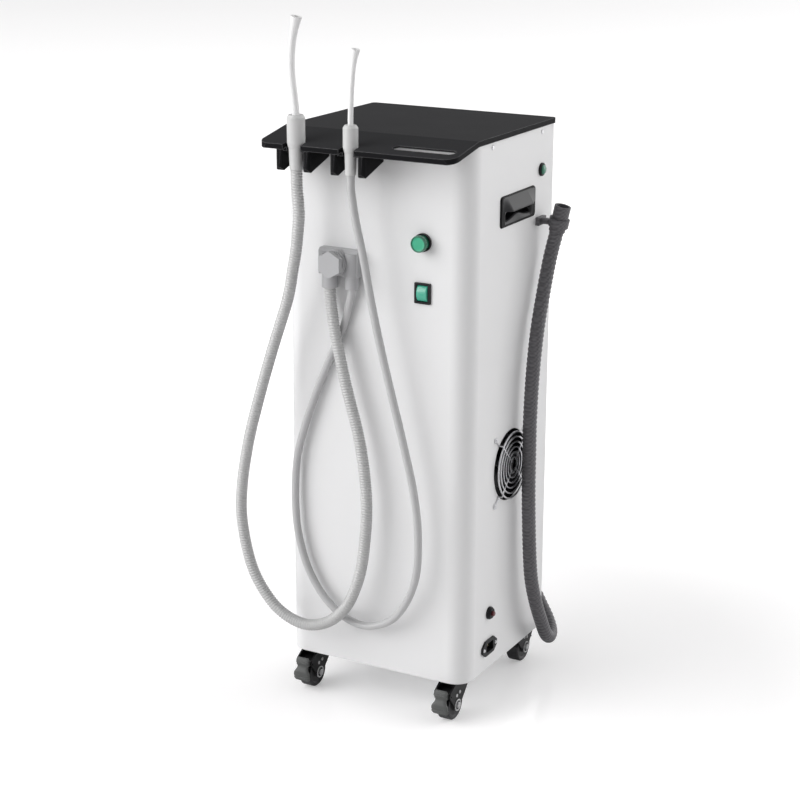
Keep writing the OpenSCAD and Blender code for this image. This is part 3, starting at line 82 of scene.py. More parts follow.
# Suction and drain hoses: extruded soft tubes with ribs, pushed over the
# spigots at both ends and hanging free between them. Their finish needs the
# shader maths below, and their shape follows a rule along a smooth route.
class Socket:
    """A node's output, so that maths on values reads as sums and products."""

    def __init__(self, output):
        self.output = output

    @staticmethod
    def plug(node, sockets):
        for key, value in sockets.items():
            if isinstance(value, Socket):
                node.id_data.links.new(value.output, node.inputs[key])
            else:
                node.inputs[key].default_value = value

    @classmethod
    def add(cls, tree, kind, settings=None, sockets=None, pick=0):
        """Adds a node: its type, its settings, then the values or links of its sockets."""
        node = tree.nodes.new(kind)
        for key, value in (settings or {}).items():
            setattr(node, key, value)
        cls.plug(node, sockets or {})
        return cls(node.outputs[pick])

    def beside(self, key):
        return Socket(self.output.node.outputs[key])

    def maths(self, operation, *values):
        return Socket.add(self.output.id_data, "ShaderNodeMath", {"operation": operation},
                          dict(enumerate(values)))

    def vector_maths(self, operation, sockets, pick="Vector"):
        return Socket.add(self.output.id_data, "ShaderNodeVectorMath", {"operation": operation},
                          {0: self, **sockets}, pick)

    def __add__(self, other):
        return self.maths("ADD", self, other)

    def __sub__(self, other):
        return self.maths("SUBTRACT", self, other)

    def __rsub__(self, other):
        return self.maths("SUBTRACT", other, self)

    def __mul__(self, other):
        return self.maths("MULTIPLY", self, other)

    def __truediv__(self, other):
        return self.maths("DIVIDE", self, other)

    __radd__ = __add__
    __rmul__ = __mul__

    def above(self, limit):
        return self.maths("GREATER_THAN", self, limit)

    def clamped(self):
        return Socket.add(self.output.id_data, "ShaderNodeClamp", {}, {"Value": self})


# A procedural finish: one tone in soft clouds, a fine grain in tone and bump,
# and a roughness that varies a little. Threads, painted light on level faces
# and a painted highlight along the edges are there for the finishes that ask
# for them.
def surface(name, color, roughness=0.4, metallic=0.0, grain=900.0, grain_height=0.02, cloud=0.06,
            edge_highlight=None, edge_width=0.0012, coat=0.0, stretch=(1, 1, 1), specular=0.5, weave=0.0,
            level_light=None):
    material = bpy.data.materials.new(name)
    material.use_nodes = True
    tree = material.node_tree
    place = Socket.add(tree, "ShaderNodeTexCoord", pick="Object")
    stretched = Socket.add(tree, "ShaderNodeMapping", {}, {"Scale": stretch, "Vector": place})
    soft = Socket.add(tree, "ShaderNodeTexNoise", {},
                      {"Scale": 9.0, "Detail": 2.0, "Vector": place}, "Fac") - 0.5
    grains = Socket.add(tree, "ShaderNodeTexNoise", {},
                        {"Scale": grain, "Detail": 2.0, "Vector": stretched}, "Fac")
    fine = grains - 0.5

    def mixed(factor, under, over, blend="MIX"):
        return Socket.add(tree, "ShaderNodeMix", {"data_type": "RGBA", "blend_type": blend},
                          {"Factor": factor, "A": under, "B": over}, "Result")

    shade = soft * (2 * cloud) + fine * (cloud * 0.6) + 1.0
    if weave:
        # Diagonal threads, one way stronger than the other
        slant, threads_per_metre, weak = 1.3, 1050.0, 0.6
        across = Socket.add(tree, "ShaderNodeSeparateXYZ", {}, {0: place}, "Y")
        height = across.beside("Z")
        one_way = (height - across * slant) * threads_per_metre
        other_way = (height + across * slant) * threads_per_metre
        threads = one_way.maths("SINE", one_way) + other_way.maths("SINE", other_way) * weak
        shade = shade + threads * weave
    gray = Socket.add(tree, "ShaderNodeCombineColor", {}, {0: shade, 1: shade, 2: shade})
    tone = mixed(1.0, (*color, 1.0), gray, "MULTIPLY")
    normal = Socket.add(tree, "ShaderNodeNewGeometry", pick="Normal")
    if level_light is not None:
        # Painted light: a lighter tone on level faces, where the light from above lies
        upward = Socket.add(tree, "ShaderNodeSeparateXYZ", {}, {0: normal}, "Z")
        tone = mixed(((upward - 0.95) * 25.0).clamped(), tone, (*level_light, 1.0))
    # Painted highlight: a paler tone along the edges, where the rounded normal turns from the face
    if edge_highlight is not None:
        softened = Socket.add(tree, "ShaderNodeBevel", {"samples": 4}, {"Radius": edge_width})
        facing = softened.vector_maths("DOT_PRODUCT", {1: normal}, "Value")
        tone = mixed(((1.0 - facing) * 6.0).clamped(), tone, (*edge_highlight, 1.0))
    rough_swing = 0.08
    rough = soft * rough_swing + fine * (rough_swing * 0.5) + roughness
    relief = {"Strength": 0.35, "Distance": grain_height / 1000, "Height": grains}
    if edge_width:
        relief["Normal"] = Socket.add(tree, "ShaderNodeBevel", {"samples": 4}, {"Radius": edge_width})
    Socket.plug(tree.nodes["Principled BSDF"], {
        "Base Color": tone, "Roughness": rough.clamped(), "Metallic": metallic, "Coat Weight": coat,
        "Coat Roughness": 0.15, "Specular IOR Level": specular,
        "Normal": Socket.add(tree, "ShaderNodeBump", {}, relief)})
    return material


def mesh_piece(name, bm, material, smooth_angle=35.0):
    mesh = bpy.data.meshes.new(name)
    bmesh.ops.recalc_face_normals(bm, faces=bm.faces)
    bm.to_mesh(mesh)
    bm.free()
    obj = bpy.data.objects.new(name, mesh)
    bpy.context.collection.objects.link(obj)
    mesh.materials.append(material)
    for polygon in mesh.polygons:
        polygon.use_smooth = True
    mesh.set_sharp_from_angle(angle=math.radians(smooth_angle))
    return obj


# Starts a Geometry Nodes tree with a named input for each size
def new_tree(name, sizes):
    tree = bpy.data.node_groups.new(name, "GeometryNodeTree")
    tree.interface.new_socket("Geometry", in_out="INPUT", socket_type="NodeSocketGeometry")
    for label, kind in sizes.items():
        tree.interface.new_socket(label, in_out="INPUT", socket_type="NodeSocket" + kind)
    tree.interface.new_socket("Geometry", in_out="OUTPUT", socket_type="NodeSocketGeometry")
    group = tree.nodes.new("NodeGroupInput")
    return tree, {output.name: Socket(output) for output in group.outputs if output.name}


def close_tree(tree, geometry, material):
    real = Socket.add(tree, "GeometryNodeRealizeInstances", {}, {"Geometry": geometry})
    painted = Socket.add(tree, "GeometryNodeSetMaterial", {}, {"Geometry": real, "Material": material})
    Socket.plug(tree.nodes.new("NodeGroupOutput"), {"Geometry": painted})


# Runs a tree on a mesh of points and edges, and gives back the plain result
def grown(tree, points, edges, values):
    mesh = bpy.data.meshes.new(tree.name)
    mesh.from_pydata(points, edges, [])
    carrier = bpy.data.objects.new(tree.name, mesh)
    bpy.context.collection.objects.link(carrier)
    modifier = carrier.modifiers.new(tree.name, "NODES")
    modifier.node_group = tree
    for item in tree.interface.items_tree:
        if item.name in values:
            modifier[item.identifier] = values[item.name]
    evaluated = carrier.evaluated_get(bpy.context.evaluated_depsgraph_get())
    result = bpy.data.meshes.new_from_object(evaluated)
    carrier.modifiers.remove(modifier)
    bm = bmesh.new()
    bm.from_mesh(result)
    bpy.data.objects.remove(carrier)
    bpy.data.meshes.remove(mesh)
    bpy.data.meshes.remove(result)
    return bm


# The tube: a flat grid whose rows become rings along the route. Six rings
# make a rib, then the rings go back inside the bore and close on the first.
tube_tree, tube = new_tree("ribbed_tube", {
    "Ribs": "Int", "Sides": "Int", "Length": "Float", "Crest": "Float", "Shoulder": "Float",
    "Valley": "Float", "Bore": "Float", "Material": "Material"})
rib_rings, inner_rings = 6, 60
outer_rings = tube["Ribs"] * rib_rings + 3
last_row = outer_rings + inner_rings
tube_grid = Socket.add(tube_tree, "GeometryNodeMeshGrid", {}, {
    "Size X": 1.0, "Size Y": 1.0, "Vertices X": last_row + 1, "Vertices Y": tube["Sides"] + 1})
tube_spot = Socket.add(tube_tree, "GeometryNodeInputPosition")
tube_down = Socket.add(tube_tree, "ShaderNodeSeparateXYZ", {}, {0: tube_spot}, "X")
tube_row = (tube_down + 0.5) * last_row
tube_row = tube_row.maths("ROUND", tube_row)
tube_turn = (tube_down.beside("Y") + 0.5) * (2 * math.pi)
inward = tube_row - outer_rings
rib_row = tube_row - 2
rib_number = rib_row.maths("FLOOR", rib_row / rib_rings)
ring = rib_row - rib_number * rib_rings
# Where the six rings lie in a rib, as parts of its pitch
first_ring, ring_steps = 0.10, (0.18, 0.14, 0.20, 0.14, 0.16)
phase = first_ring + sum(ring.above(i + 0.5) * step for i, step in enumerate(ring_steps))
along = (rib_number + phase) * (tube["Length"] / tube["Ribs"])
along = along.maths("MAXIMUM", along, 0.0)
way_back = tube["Length"] * (1 - inward.maths("MAXIMUM", inward, 0.0) / inner_rings)
along = along.maths("MINIMUM", along, way_back)
# The two middle rings are the crest, their neighbours the shoulders
off_middle = ring.maths("ABSOLUTE", ring - 2.5)
radius = (tube["Crest"] + off_middle.above(1) * (tube["Shoulder"] - tube["Crest"])
          + off_middle.above(2) * (tube["Valley"] - tube["Shoulder"]))
in_bore = inward.above(-0.5) + (0.5 - tube_row).above(0)
radius = radius + in_bore * (tube["Bore"] - radius)
tube_route = Socket.add(tube_tree, "GeometryNodeMeshToCurve", {}, {"Mesh": tube["Geometry"]})
tube_place = Socket.add(tube_tree, "GeometryNodeSampleCurve", {"mode": "LENGTH"},
                        {"Curves": tube_route, "Length": along}, "Position")
tube_normal = tube_place.beside("Normal")
tube_across = tube_place.beside("Tangent").vector_maths("CROSS_PRODUCT", {1: tube_normal})
ring_u = tube_normal.vector_maths("SCALE", {"Scale": tube_turn.maths("COSINE", tube_turn) * radius})
ring_v = tube_across.vector_maths("SCALE", {"Scale": tube_turn.maths("SINE", tube_turn) * radius})
ring_offset = ring_u.vector_maths("ADD", {1: ring_v})
tube_skin = Socket.add(tube_tree, "GeometryNodeSetPosition", {}, {
    "Geometry": tube_grid, "Position": tube_place.vector_maths("ADD", {1: ring_offset})})
tube_closed = Socket.add(tube_tree, "GeometryNodeMergeByDistance", {},
                         {"Geometry": tube_skin, "Distance": 1e-6})
close_tree(tube_tree, tube_closed, tube["Material"])


# Points on a smooth curve through a route, as in the CAD
def smooth_curve(route, per=10):
    out = []
    count = len(route) - 1
    for i in range(count):
        b = route[i]
        c = route[i + 1]
        a = route[i - 1] if i else b * 2 - c
        d = route[i + 2] if i + 2 <= count else c * 2 - b
        for k in range(per):
            t = k / per
            out.append(0.5 * (2 * b + (c - a) * t + (2 * a - 5 * b + 4 * c - d) * t * t
                              + (3 * b - a - 3 * c + d) * t * t * t))
    out.append(route[-1].copy())
    return out


def hose(name, route, material, pitch, crest, shoulder, valley, bore, sides):
    curve = smooth_curve(route)
    length = sum((b - a).length for a, b in zip(curve, curve[1:]))
    bm = grown(tube_tree, curve, [(i, i + 1) for i in range(len(curve) - 1)], {
        "Ribs": round(length / pitch), "Sides": sides, "Length": length, "Crest": crest,
        "Shoulder": shoulder, "Valley": valley, "Bore": bore, "Material": material})
    return mesh_piece(name, bm, material, 60.0), length, curve


# Large suction hose: pale corrugated soft plastic, 18 mm across, from its
# handpiece down in a wide loop and up into a cuff under the manifold
large_route = [body(*p) for p in (
    (-101, -187.6, 841.7), (-101, -187.6, 830), (-101, -187.6, 818), (-99, -187.5, 795),
    (-98.5, -187, 772), (-101.5, -186.5, 745), (-105.5, -186, 718), (-111, -185.5, 692),
    (-122, -184, 645), (-148, -183, 572), (-172, -182, 500), (-197, -181, 415), (-212, -180, 335),
    (-213, -179, 275), (-197, -178, 205), (-166, -177, 157), (-132, -176.5, 134), (-96, -176, 128.5),
    (-61, -175, 141), (-32, -174, 169), (-14, -172.5, 206), (-3, -171, 250), (3, -169, 320),
    (0, -167, 375), (-12, -165, 443), (-34, -164, 520), (-52, -162, 592), (-61, -158, 630),
    (-65.5, -155, 653), (-66.5, -154, 668), (-66.5, -154, 683.8))]
hose_pale = surface("hose_pale", (0.50, 0.50, 0.50), roughness=0.30, grain=1400, cloud=0.05, coat=0.35)
large_hose, large_length, large_curve = hose(
    "suction_hose_large", large_route, hose_pale, pitch=0.0042, crest=0.0089, shoulder=0.0087,
    valley=0.0079, bore=0.0062, sides=16)
tuple(body(-118, -186, 660))
tuple(body(-187.4, -186, 798.8))
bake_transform(large_hose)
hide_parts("large_hose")

# Small suction hose: smooth pale tube, 12 mm across, that passes behind the
# large one to its own cuff. Its crests, shoulders and valleys are the same.
small_route = [body(*p) for p in (
    (-11, -187.6, 841.7), (-11, -187.6, 829), (-10.5, -187.5, 817), (-4, -186, 775), (6, -183, 725),
    (17, -180, 662), (31, -178, 596), (50, -175, 517), (68, -172, 444), (84, -170, 372),
    (90, -167, 300), (83, -165, 230), (50, -160, 168), (4, -157, 140), (-40, -154, 142),
    (-78, -153, 166), (-108, -152, 206), (-126, -152, 258), (-133, -151, 315), (-130, -150, 385),
    (-116, -149, 440), (-96, -148, 496), (-72, -146, 554), (-48, -145, 608), (-37, -148, 642),
    (-32, -149.8, 662), (-31.5, -150, 672), (-31.5, -150, 683.8))]
hose_smooth = surface("hose_smooth", (0.47, 0.47, 0.475), roughness=0.30, grain=700, coat=0.35)
small_hose, small_length, small_curve = hose(
    "suction_hose_small", small_route, hose_smooth, pitch=0.035, crest=0.0059, shoulder=0.0059,
    valley=0.0059, bore=0.004, sides=20)
tuple(body(17, -180, 660))
tuple(body(87.8, -180, 801.6))
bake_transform(small_hose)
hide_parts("small_hose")

# Drain hose: dark ribbed tube, 22 mm across, from the rear outlet, round near
# the floor and up the right side, where a clip holds its open end
drain_route = [body(*p) for p in (
    (88, 182, 289.7), (88, 182, 278), (88, 182, 262), (89, 182.5, 236), (92, 183.5, 200),
    (99, 185, 158), (113, 185.5, 117), (134, 181, 84), (155, 168, 62), (170, 148, 51), (178, 123, 52),
    (182, 99, 68), (183, 79, 97), (182, 60, 133), (180, 47, 170), (179, 41, 200), (178, 38, 235),
    (177, 36, 275), (177, 32, 330), (177, 31, 390), (177, 31, 450), (177, 37, 520), (177, 50, 585),
    (177, 69, 640), (178.5, 84, 684), (180.6, 91, 707), (183.1, 92, 718.4), (185.78, 92, 730.05))]
hose_dark = surface("hose_dark", (0.120, 0.117, 0.124), roughness=0.42, grain=1200, cloud=0.12,
                    weave=0.16, specular=0.3)
drain_hose, drain_length, drain_curve = hose(
    "drain_hose_ribbed", drain_route, hose_dark, pitch=0.0075, crest=0.0109, shoulder=0.0107,
    valley=0.0102, bore=0.008, sides=20)
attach(drain_hose, "cabinet")
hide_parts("drain_hose")


# Cabinet: bent steel sheet, powder-coated white with a fine orange peel, and
# a rear panel of the same sheet held by screws
def paint(material, *names):
    for name in names:
        materials = nodes[name].data.materials
        materials.clear()
        materials.append(material)


cabinet_half_w, cabinet_half_d = 156, 138
# Its paler edges are a painted highlight
cabinet_paint = surface("cabinet_paint", (0.78, 0.78, 0.785), roughness=0.34, grain=420,
                        grain_height=0.03, cloud=0.012, edge_highlight=(0.84, 0.84, 0.84), edge_width=0.0008,
                        coat=0.1)
paint(cabinet_paint, "cabinet_shell", "rear_panel")
bright_steel = surface("bright_steel", (0.70, 0.70, 0.72), roughness=0.28, metallic=1.0, grain=1600,
                       stretch=(1, 1, 8), edge_width=0.0004)
paint(bright_steel, "rear_panel_screws", "cover_screws", "inlet_screws", "fan_guard", "fan_screws")

# Inside the cabinet: a tray and a shelf of bare sheet carry the cast motor,
# the clear moulded tank, the control box and the rubber hoses between them
inner_steel = surface("inner_steel", (0.50, 0.51, 0.52), roughness=0.45, metallic=0.9, grain=600,
                      cloud=0.1)
paint(inner_steel, "base_tray", "equipment_shelf")
motor_metal = surface("motor_metal", (0.5, 0.52, 0.54), metallic=0.8, grain=500)
paint(motor_metal, "suction_motor", "motor_impeller")
tank_clear = surface("tank_clear", (0.66, 0.72, 0.75), roughness=0.2, grain=300, coat=0.3)
paint(tank_clear, "separator_tank")
box_grey = surface("box_grey", (0.55, 0.56, 0.55), roughness=0.45)
paint(box_grey, "control_box")
inner_hose = surface("inner_hose", (0.05, 0.05, 0.055), roughness=0.5)
paint(inner_hose, "internal_hoses")

# Top cover: one near-black moulding with a fine leather grain, screwed to the
# cabinet through its sides
# Its paler edges are a painted highlight, and its level faces get a lighter tone as painted light
cover_plastic = surface("cover_plastic", (0.010, 0.010, 0.011), roughness=0.48, grain=1500,
                        grain_height=0.06, cloud=0.10, edge_highlight=(0.17, 0.17, 0.175), edge_width=0.0016,
                        specular=0.04, level_light=(0.030, 0.030, 0.032))
paint(cover_plastic, "top_cover")

# Black fittings: small moulded frames, bezels and the fan, pushed or screwed
# into holes in the sheet
# Its paler edges are a painted highlight
black_plastic = surface("black_plastic", (0.012, 0.012, 0.0135), roughness=0.42, grain=1600,
                        grain_height=0.03, cloud=0.1, edge_highlight=(0.04, 0.04, 0.042), edge_width=0.0006,
                        specular=0.2)
paint(black_plastic, "pilot_lamp_bezel", "switch_frame", "side_button_bezel", "breaker_bush",
      "power_inlet", "fan_frame", "fan_rotor", "tank_lid")

# Carry handles: recessed black mouldings with a rounded bezel, a hood that
# slopes out over the finger opening, and a scooped floor with a raised middle
handle_black = surface("handle_black", (0.040, 0.040, 0.042), roughness=0.42, grain=1500,
                       grain_height=0.04, cloud=0.12, edge_width=0.0, specular=0.25)
# A blacker copy of the same finish: painted shade deep in the finger opening, and the flat bezel's
# tone
handle_dark = surface("handle_dark", (0.006, 0.006, 0.0065), roughness=0.5, grain=1500,
                      edge_width=0.0, specular=0.12)
handle_y, handle_z = 14, 778
handle_half_l, handle_half_h, handle_corner = 59.0, 23.5, 6
bezel_rise, hood_rise, finger_depth = 2.5, 11.0, 19
hood_lip = 1.0


def unit(value):
    return min(max(value, 0.0), 1.0)


def rise(value, low, high):
    t = unit((value - low) / (high - low))
    return t * t * (3 - 2 * t)


# How far the moulding stands out of the sheet at a place on its face
def handle_height(y, z):
    qx = abs(y) - (handle_half_l - handle_corner)
    qz = abs(z) - (handle_half_h - handle_corner)
    inside = handle_corner - (math.hypot(max(qx, 0), max(qz, 0)) + min(max(qx, qz), 0))
    rim = bezel_rise * unit(inside / 1.6) ** 0.5
    if z > hood_lip:
        hood = hood_rise * min(rise(y, -55, -40), unit((58 - y) / 31))
        roof_foot = handle_half_h - 2.5
        return rim + hood * unit((roof_foot - z) / (roof_foot - hood_lip - 2)) ** 0.9
    # Below the lip: opening with rounded upper corners, then the scoop
    width = 46 - 6 * rise(z, -6, 1) ** 2
    opening = min(rise(y, -width, -width + 5), rise(-y, -width, -width + 5))
    scoop_z = -17 + 6.5 * math.exp(-(y / 20) ** 2)
    ramp = 2.2 * rise(z, -21, scoop_z + 1)
    return rim - opening * (ramp + finger_depth * rise(z, scoop_z, scoop_z + 9))


# Joins rows of points into a skin; closed rows run round, open rows don't
def skin(bm, rows, closed=False):
    made = [[bm.verts.new(p) for p in row] for row in rows]
    for a, b in zip(made, made[1:]):
        for k in range(len(a) if closed else len(a) - 1):
            j = (k + 1) % len(a)
            bm.faces.new((a[k], a[j], b[j], b[k]))
    return made


handle_ys = [-handle_half_l + 2 * handle_half_l * i / 150 for i in range(151)]
handle_zs = ([-handle_half_h + 24.4 * i / 46 for i in range(47)]
             + [hood_lip + 0.05 + 22.45 * i / 30 for i in range(31)])
for handle_name, side, node_name in (("carry_handle_right_shell", 1, "carry_handle_right"),
                                     ("carry_handle_left_shell", -1, "carry_handle_left")):
    handle_bm = bmesh.new()
    grid = []
    for z in handle_zs:
        row = []
        for y in handle_ys:
            # Round the outline by drawing grid points in from the corners
            past = abs(z) - (handle_half_h - handle_corner)
            if past > 0:
                cut = handle_corner - math.sqrt(max(handle_corner ** 2 - past ** 2, 0))
                y *= (handle_half_l - cut) / handle_half_l
            row.append(body(side * (cabinet_half_w + handle_height(y, z)), handle_y + y, handle_z + z))
        grid.append(row)
    made = skin(handle_bm, grid)
    rim = made[0] + [r[-1] for r in made[1:]] + made[-1][-2::-1] + [r[0] for r in made[-2:0:-1]]
    sheet_x = body(side * cabinet_half_w, 0, 0).x
    base = [handle_bm.verts.new(Vector((sheet_x, v.co.y, v.co.z))) for v in rim]
    for k in range(len(rim)):
        j = (k + 1) % len(rim)
        handle_bm.faces.new((rim[k], rim[j], base[j], base[k]))
    shell = mesh_piece(handle_name, handle_bm, handle_black, 50)
    shell.data.materials.append(handle_dark)
    for polygon in shell.data.polygons:
        # Painted shade: blacker deep in the finger opening; the flat bezel gets the same blacker tone
        spot = (polygon.center - body(side * cabinet_half_w, handle_y, handle_z)) * 1000
        raised = side * spot.x
        if raised < -2.5 or (raised < 2.6 and (abs(spot.y) > 47 or abs(spot.z) > 19.5)):
            polygon.material_index = 1
    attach(shell, "cabinet")
    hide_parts(node_name)

# Pilot lamp: a turned green lens with a knurled waist and a paler face, in a
# black bezel on the front
lamp_green = surface("lamp_green", (0.010, 0.15, 0.085), roughness=0.30, grain=500, cloud=0.1,
                     coat=0.3, edge_width=0.0)
lamp_face = surface("lamp_face", (0.03, 0.38, 0.215), roughness=0.35, grain=500, cloud=0.05,
                    coat=0.2, edge_width=0.0)


# A frame on the front, in millimetres: x and y lie in the sheet, z points out
def on_front(x, z, y=-cabinet_half_d):
    turn = Matrix(((1, 0, 0, 0), (0, 0, -1, 0), (0, 1, 0, 0), (0, 0, 0, 1)))
    return Matrix.Translation(body(x, y, z)) @ turn @ Matrix.Scale(0.001, 4)


# Turns a (radius, height) profile round the frame's z axis
def lathe(bm, place, profile, sides, index=0):
    rows = []
    for radius, height in profile:
        turns = [2 * math.pi * k / sides for k in range(sides)] if radius else [0.0]
        rows.append([bm.verts.new(place @ Vector((radius * math.cos(a), radius * math.sin(a), height)))
                     for a in turns])
    for a, b in zip(rows, rows[1:]):
        for k in range(sides):
            j = (k + 1) % sides
            if len(b) == 1:
                face = bm.faces.new((a[k], a[j], b[0]))
            else:
                face = bm.faces.new((a[k], a[j], b[j], b[k]))
            face.material_index = index


switch_x, lamp_z, rocker_z = 80, 745, 670
lamp_bm = bmesh.new()
lamp_place = on_front(switch_x, lamp_z)
lathe(lamp_bm, lamp_place, [
    (11.2, 1.9), (11.2, 6), (11.5, 6.3), (11.5, 8), (11.2, 8.3), (11.2, 9.4), (11.9, 10), (12.3, 11),
    (12.4, 15), (12.2, 16.4), (11.6, 17.3), (10.8, 17.5), (10.1, 17.2), (9.8, 16.4)], 64)
lathe(lamp_bm, lamp_place, [(9.8, 16.4), (9.6, 16.3), (6, 16.55), (3, 16.65), (0, 16.7)], 64, 1)
bmesh.ops.remove_doubles(lamp_bm, verts=lamp_bm.verts, dist=1e-6)
lamp = mesh_piece("pilot_lamp_dome", lamp_bm, lamp_green, 40)
lamp.data.materials.append(lamp_face)
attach(lamp, "cabinet")
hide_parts("pilot_lamp_lens")

# Rocker: a glossy green moulded pad with an arched face and rounded ends,
# tilting in its frame below the lamp
rocker_green = surface("rocker_green", (0.04, 0.40, 0.27), roughness=0.18, grain=350, cloud=0.08,
                       coat=0.6, edge_width=0.0)
rocker_half_w, rocker_half_h, rocker_foot, rocker_crown = 8.5, 11.3, -3.0, 5.2
rocker_half_face, rocker_tilt = 7.7, math.radians(-2)
rocker_place = on_front(switch_x, rocker_z, -139) @ Matrix.Rotation(rocker_tilt, 4, "X")
rocker_rows = []
for i in range(25):
    y = -rocker_half_h + 2 * rocker_half_h * i / 24
    crown = rocker_crown - 4.6 * (abs(y) / rocker_half_h) ** 2.3
    # From the foot up over the rounded edge, then to the middle
    flank = [(rocker_half_w, rocker_foot), (rocker_half_w, crown - 1.2), (8.3, crown - 0.4),
             (rocker_half_face, crown)]
    face = [(rocker_half_face * (k / 5 - 1), crown + 0.25 * math.sin(math.pi * k / 10))
            for k in range(1, 10)]
    row = [(-x, z) for x, z in flank] + face + flank[::-1]
    rocker_rows.append([rocker_place @ Vector((x, y, z)) for x, z in row])
rocker_bm = bmesh.new()
made = skin(rocker_bm, rocker_rows, closed=True)
rocker_bm.faces.new(made[0])
rocker_bm.faces.new(made[-1])
rocker = mesh_piece("switch_rocker_pad", rocker_bm, rocker_green, 50)
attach(rocker, "rocker")
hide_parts("switch_rocker")

# Buttons and power inlet on the right side: a green push button at the top,
# a red breaker button and the inlet's plated pins at the bottom
button_green = surface("button_green", (0.02, 0.17, 0.10), roughness=0.25, grain=500, coat=0.4)
paint(button_green, "side_button")
breaker_red = surface("breaker_red", (0.11, 0.008, 0.010), roughness=0.3, grain=600, coat=0.3)
paint(breaker_red, "breaker_button")
pin_brass = surface("pin_brass", (0.75, 0.68, 0.50), roughness=0.25, metallic=1.0)
paint(pin_brass, "inlet_pins")

# Manifold, filter cap and hose cuffs: pale grey mouldings on the front, with
# a cap that turns off its thread
# Its paler edges are a painted highlight
connector_grey = surface("connector_grey", (0.42, 0.42, 0.43), grain=1300, cloud=0.05,
                         edge_highlight=(0.52, 0.52, 0.53), edge_width=0.001)
paint(connector_grey, "manifold_block", "filter_cap", "hose_cuffs")

# Handpieces and tips: pale moulded grips that hang in the cover's hooks, with
# white tips pushed into them, and the drain hose's dark rubber fittings
handpiece_pale = surface("handpiece_pale", (0.58, 0.58, 0.578), roughness=0.38, grain=1500,
                         cloud=0.04, edge_width=0.0008)
paint(handpiece_pale, "large_handpiece", "small_handpiece")
tip_white = surface("tip_white", (0.82, 0.82, 0.82), roughness=0.35, grain=800, cloud=0.03, coat=0.1)
paint(tip_white, "large_tip", "small_tip")
paint(hose_dark, "drain_cuff", "hose_clip", "outlet_elbow")

# Casters: black moulded forks that swivel under pressed steel plates, with
# black tyres on steel axles
caster_x, caster_y = 123, 102
caster_corners = (("front_left", -1, -1), ("front_right", 1, -1), ("rear_left", -1, 1),
                  ("rear_right", 1, 1))
# Its paler edges are a painted highlight
caster_black = surface("caster_black", (0.007, 0.007, 0.0075), roughness=0.38, grain=1200, cloud=0.1,
                       edge_highlight=(0.03, 0.03, 0.03), edge_width=0.0006, specular=0.2)
tyre_black = surface("tyre_black", (0.028, 0.028, 0.030), roughness=0.55, cloud=0.15)
for corner, _, _ in caster_corners:
    paint(caster_black, corner + "_fork")
    paint(tyre_black, corner + "_wheel")
    paint(bright_steel, corner + "_axle")
caster_steel = surface("caster_steel", (0.60, 0.60, 0.62), roughness=0.35, metallic=1.0)
paint(caster_steel, "caster_plates")

# Brake pedals: wavy grey tongues moulded in one piece, narrow at the waist
# and wide at the foot, with fine ribs near the top and a groove across the
# foot. Two arms hold each one on its pin between the cheeks.
# Its paler edges are a painted highlight
pedal_grey = surface("pedal_grey", (0.085, 0.088, 0.086), roughness=0.42, grain=1300, cloud=0.08,
                     edge_highlight=(0.17, 0.17, 0.17), edge_width=0.0008, specular=0.3)
pedal_top, pedal_drop, pedal_steps = 56.5, 37, 44
pedal_half_w, pedal_face_y, pedal_rear_y = 11.2, -152.2, -149.8
arm_x, arm_y, arm_z = 9, -148.5, 47
arm_w, arm_d, arm_h = 3.5, 9.5, 7


def swell(value, middle, width):
    return math.exp(-((value - middle) / width) ** 2)


for pedal_name, side in (("front_left", -1), ("front_right", 1)):
    pedal_bm = bmesh.new()
    pedal_x = side * caster_x
    rows = []
    for i in range(pedal_steps + 1):
        t = i / pedal_steps
        z = pedal_top - pedal_drop * t
        half = pedal_half_w - 1.8 * swell(t, 0.42, 0.14) + 2.9 * rise(t, 0.45, 0.72)
        half -= 1.6 * rise(t, 0.93, 1.0) + 1.5 * (1 - rise(t, 0.0, 0.08))
        out = pedal_face_y - 3.6 * rise(t, 0.0, 0.18) + 1.6 * swell(t, 0.36, 0.10)
        out -= 2.6 * rise(t, 0.42, 0.62) - 1.8 * rise(t, 0.82, 1.0)
        if 0.10 < t < 0.34:
            out += 0.35 * math.sin(t * 150)
        out += 1.5 * swell(t, 0.84, 0.022)
        across = [-1 + k / 6 for k in range(13)]
        front = [body(pedal_x + half * u, out + 1.6 * abs(u) ** 5, z) for u in across]
        rear = [body(pedal_x + half * 0.96 * u, min(out + 4.5, pedal_rear_y), z)
                for u in reversed(across)]
        rows.append(front + rear)
    made = skin(pedal_bm, rows, closed=True)
    pedal_bm.faces.new(made[0])
    pedal_bm.faces.new(made[-1])
    for arm_side in (-1, 1):
        for v in bmesh.ops.create_cube(pedal_bm, size=1.0)["verts"]:
            x, y, z = v.co
            v.co = body(pedal_x + arm_side * arm_x + x * arm_w, arm_y + y * arm_d, arm_z + z * arm_h)
    tongue = mesh_piece(pedal_name + "_pedal_tongue", pedal_bm, pedal_grey, 45)
    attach(tongue, pedal_name + "_brake")
    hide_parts(pedal_name + "_pedal")

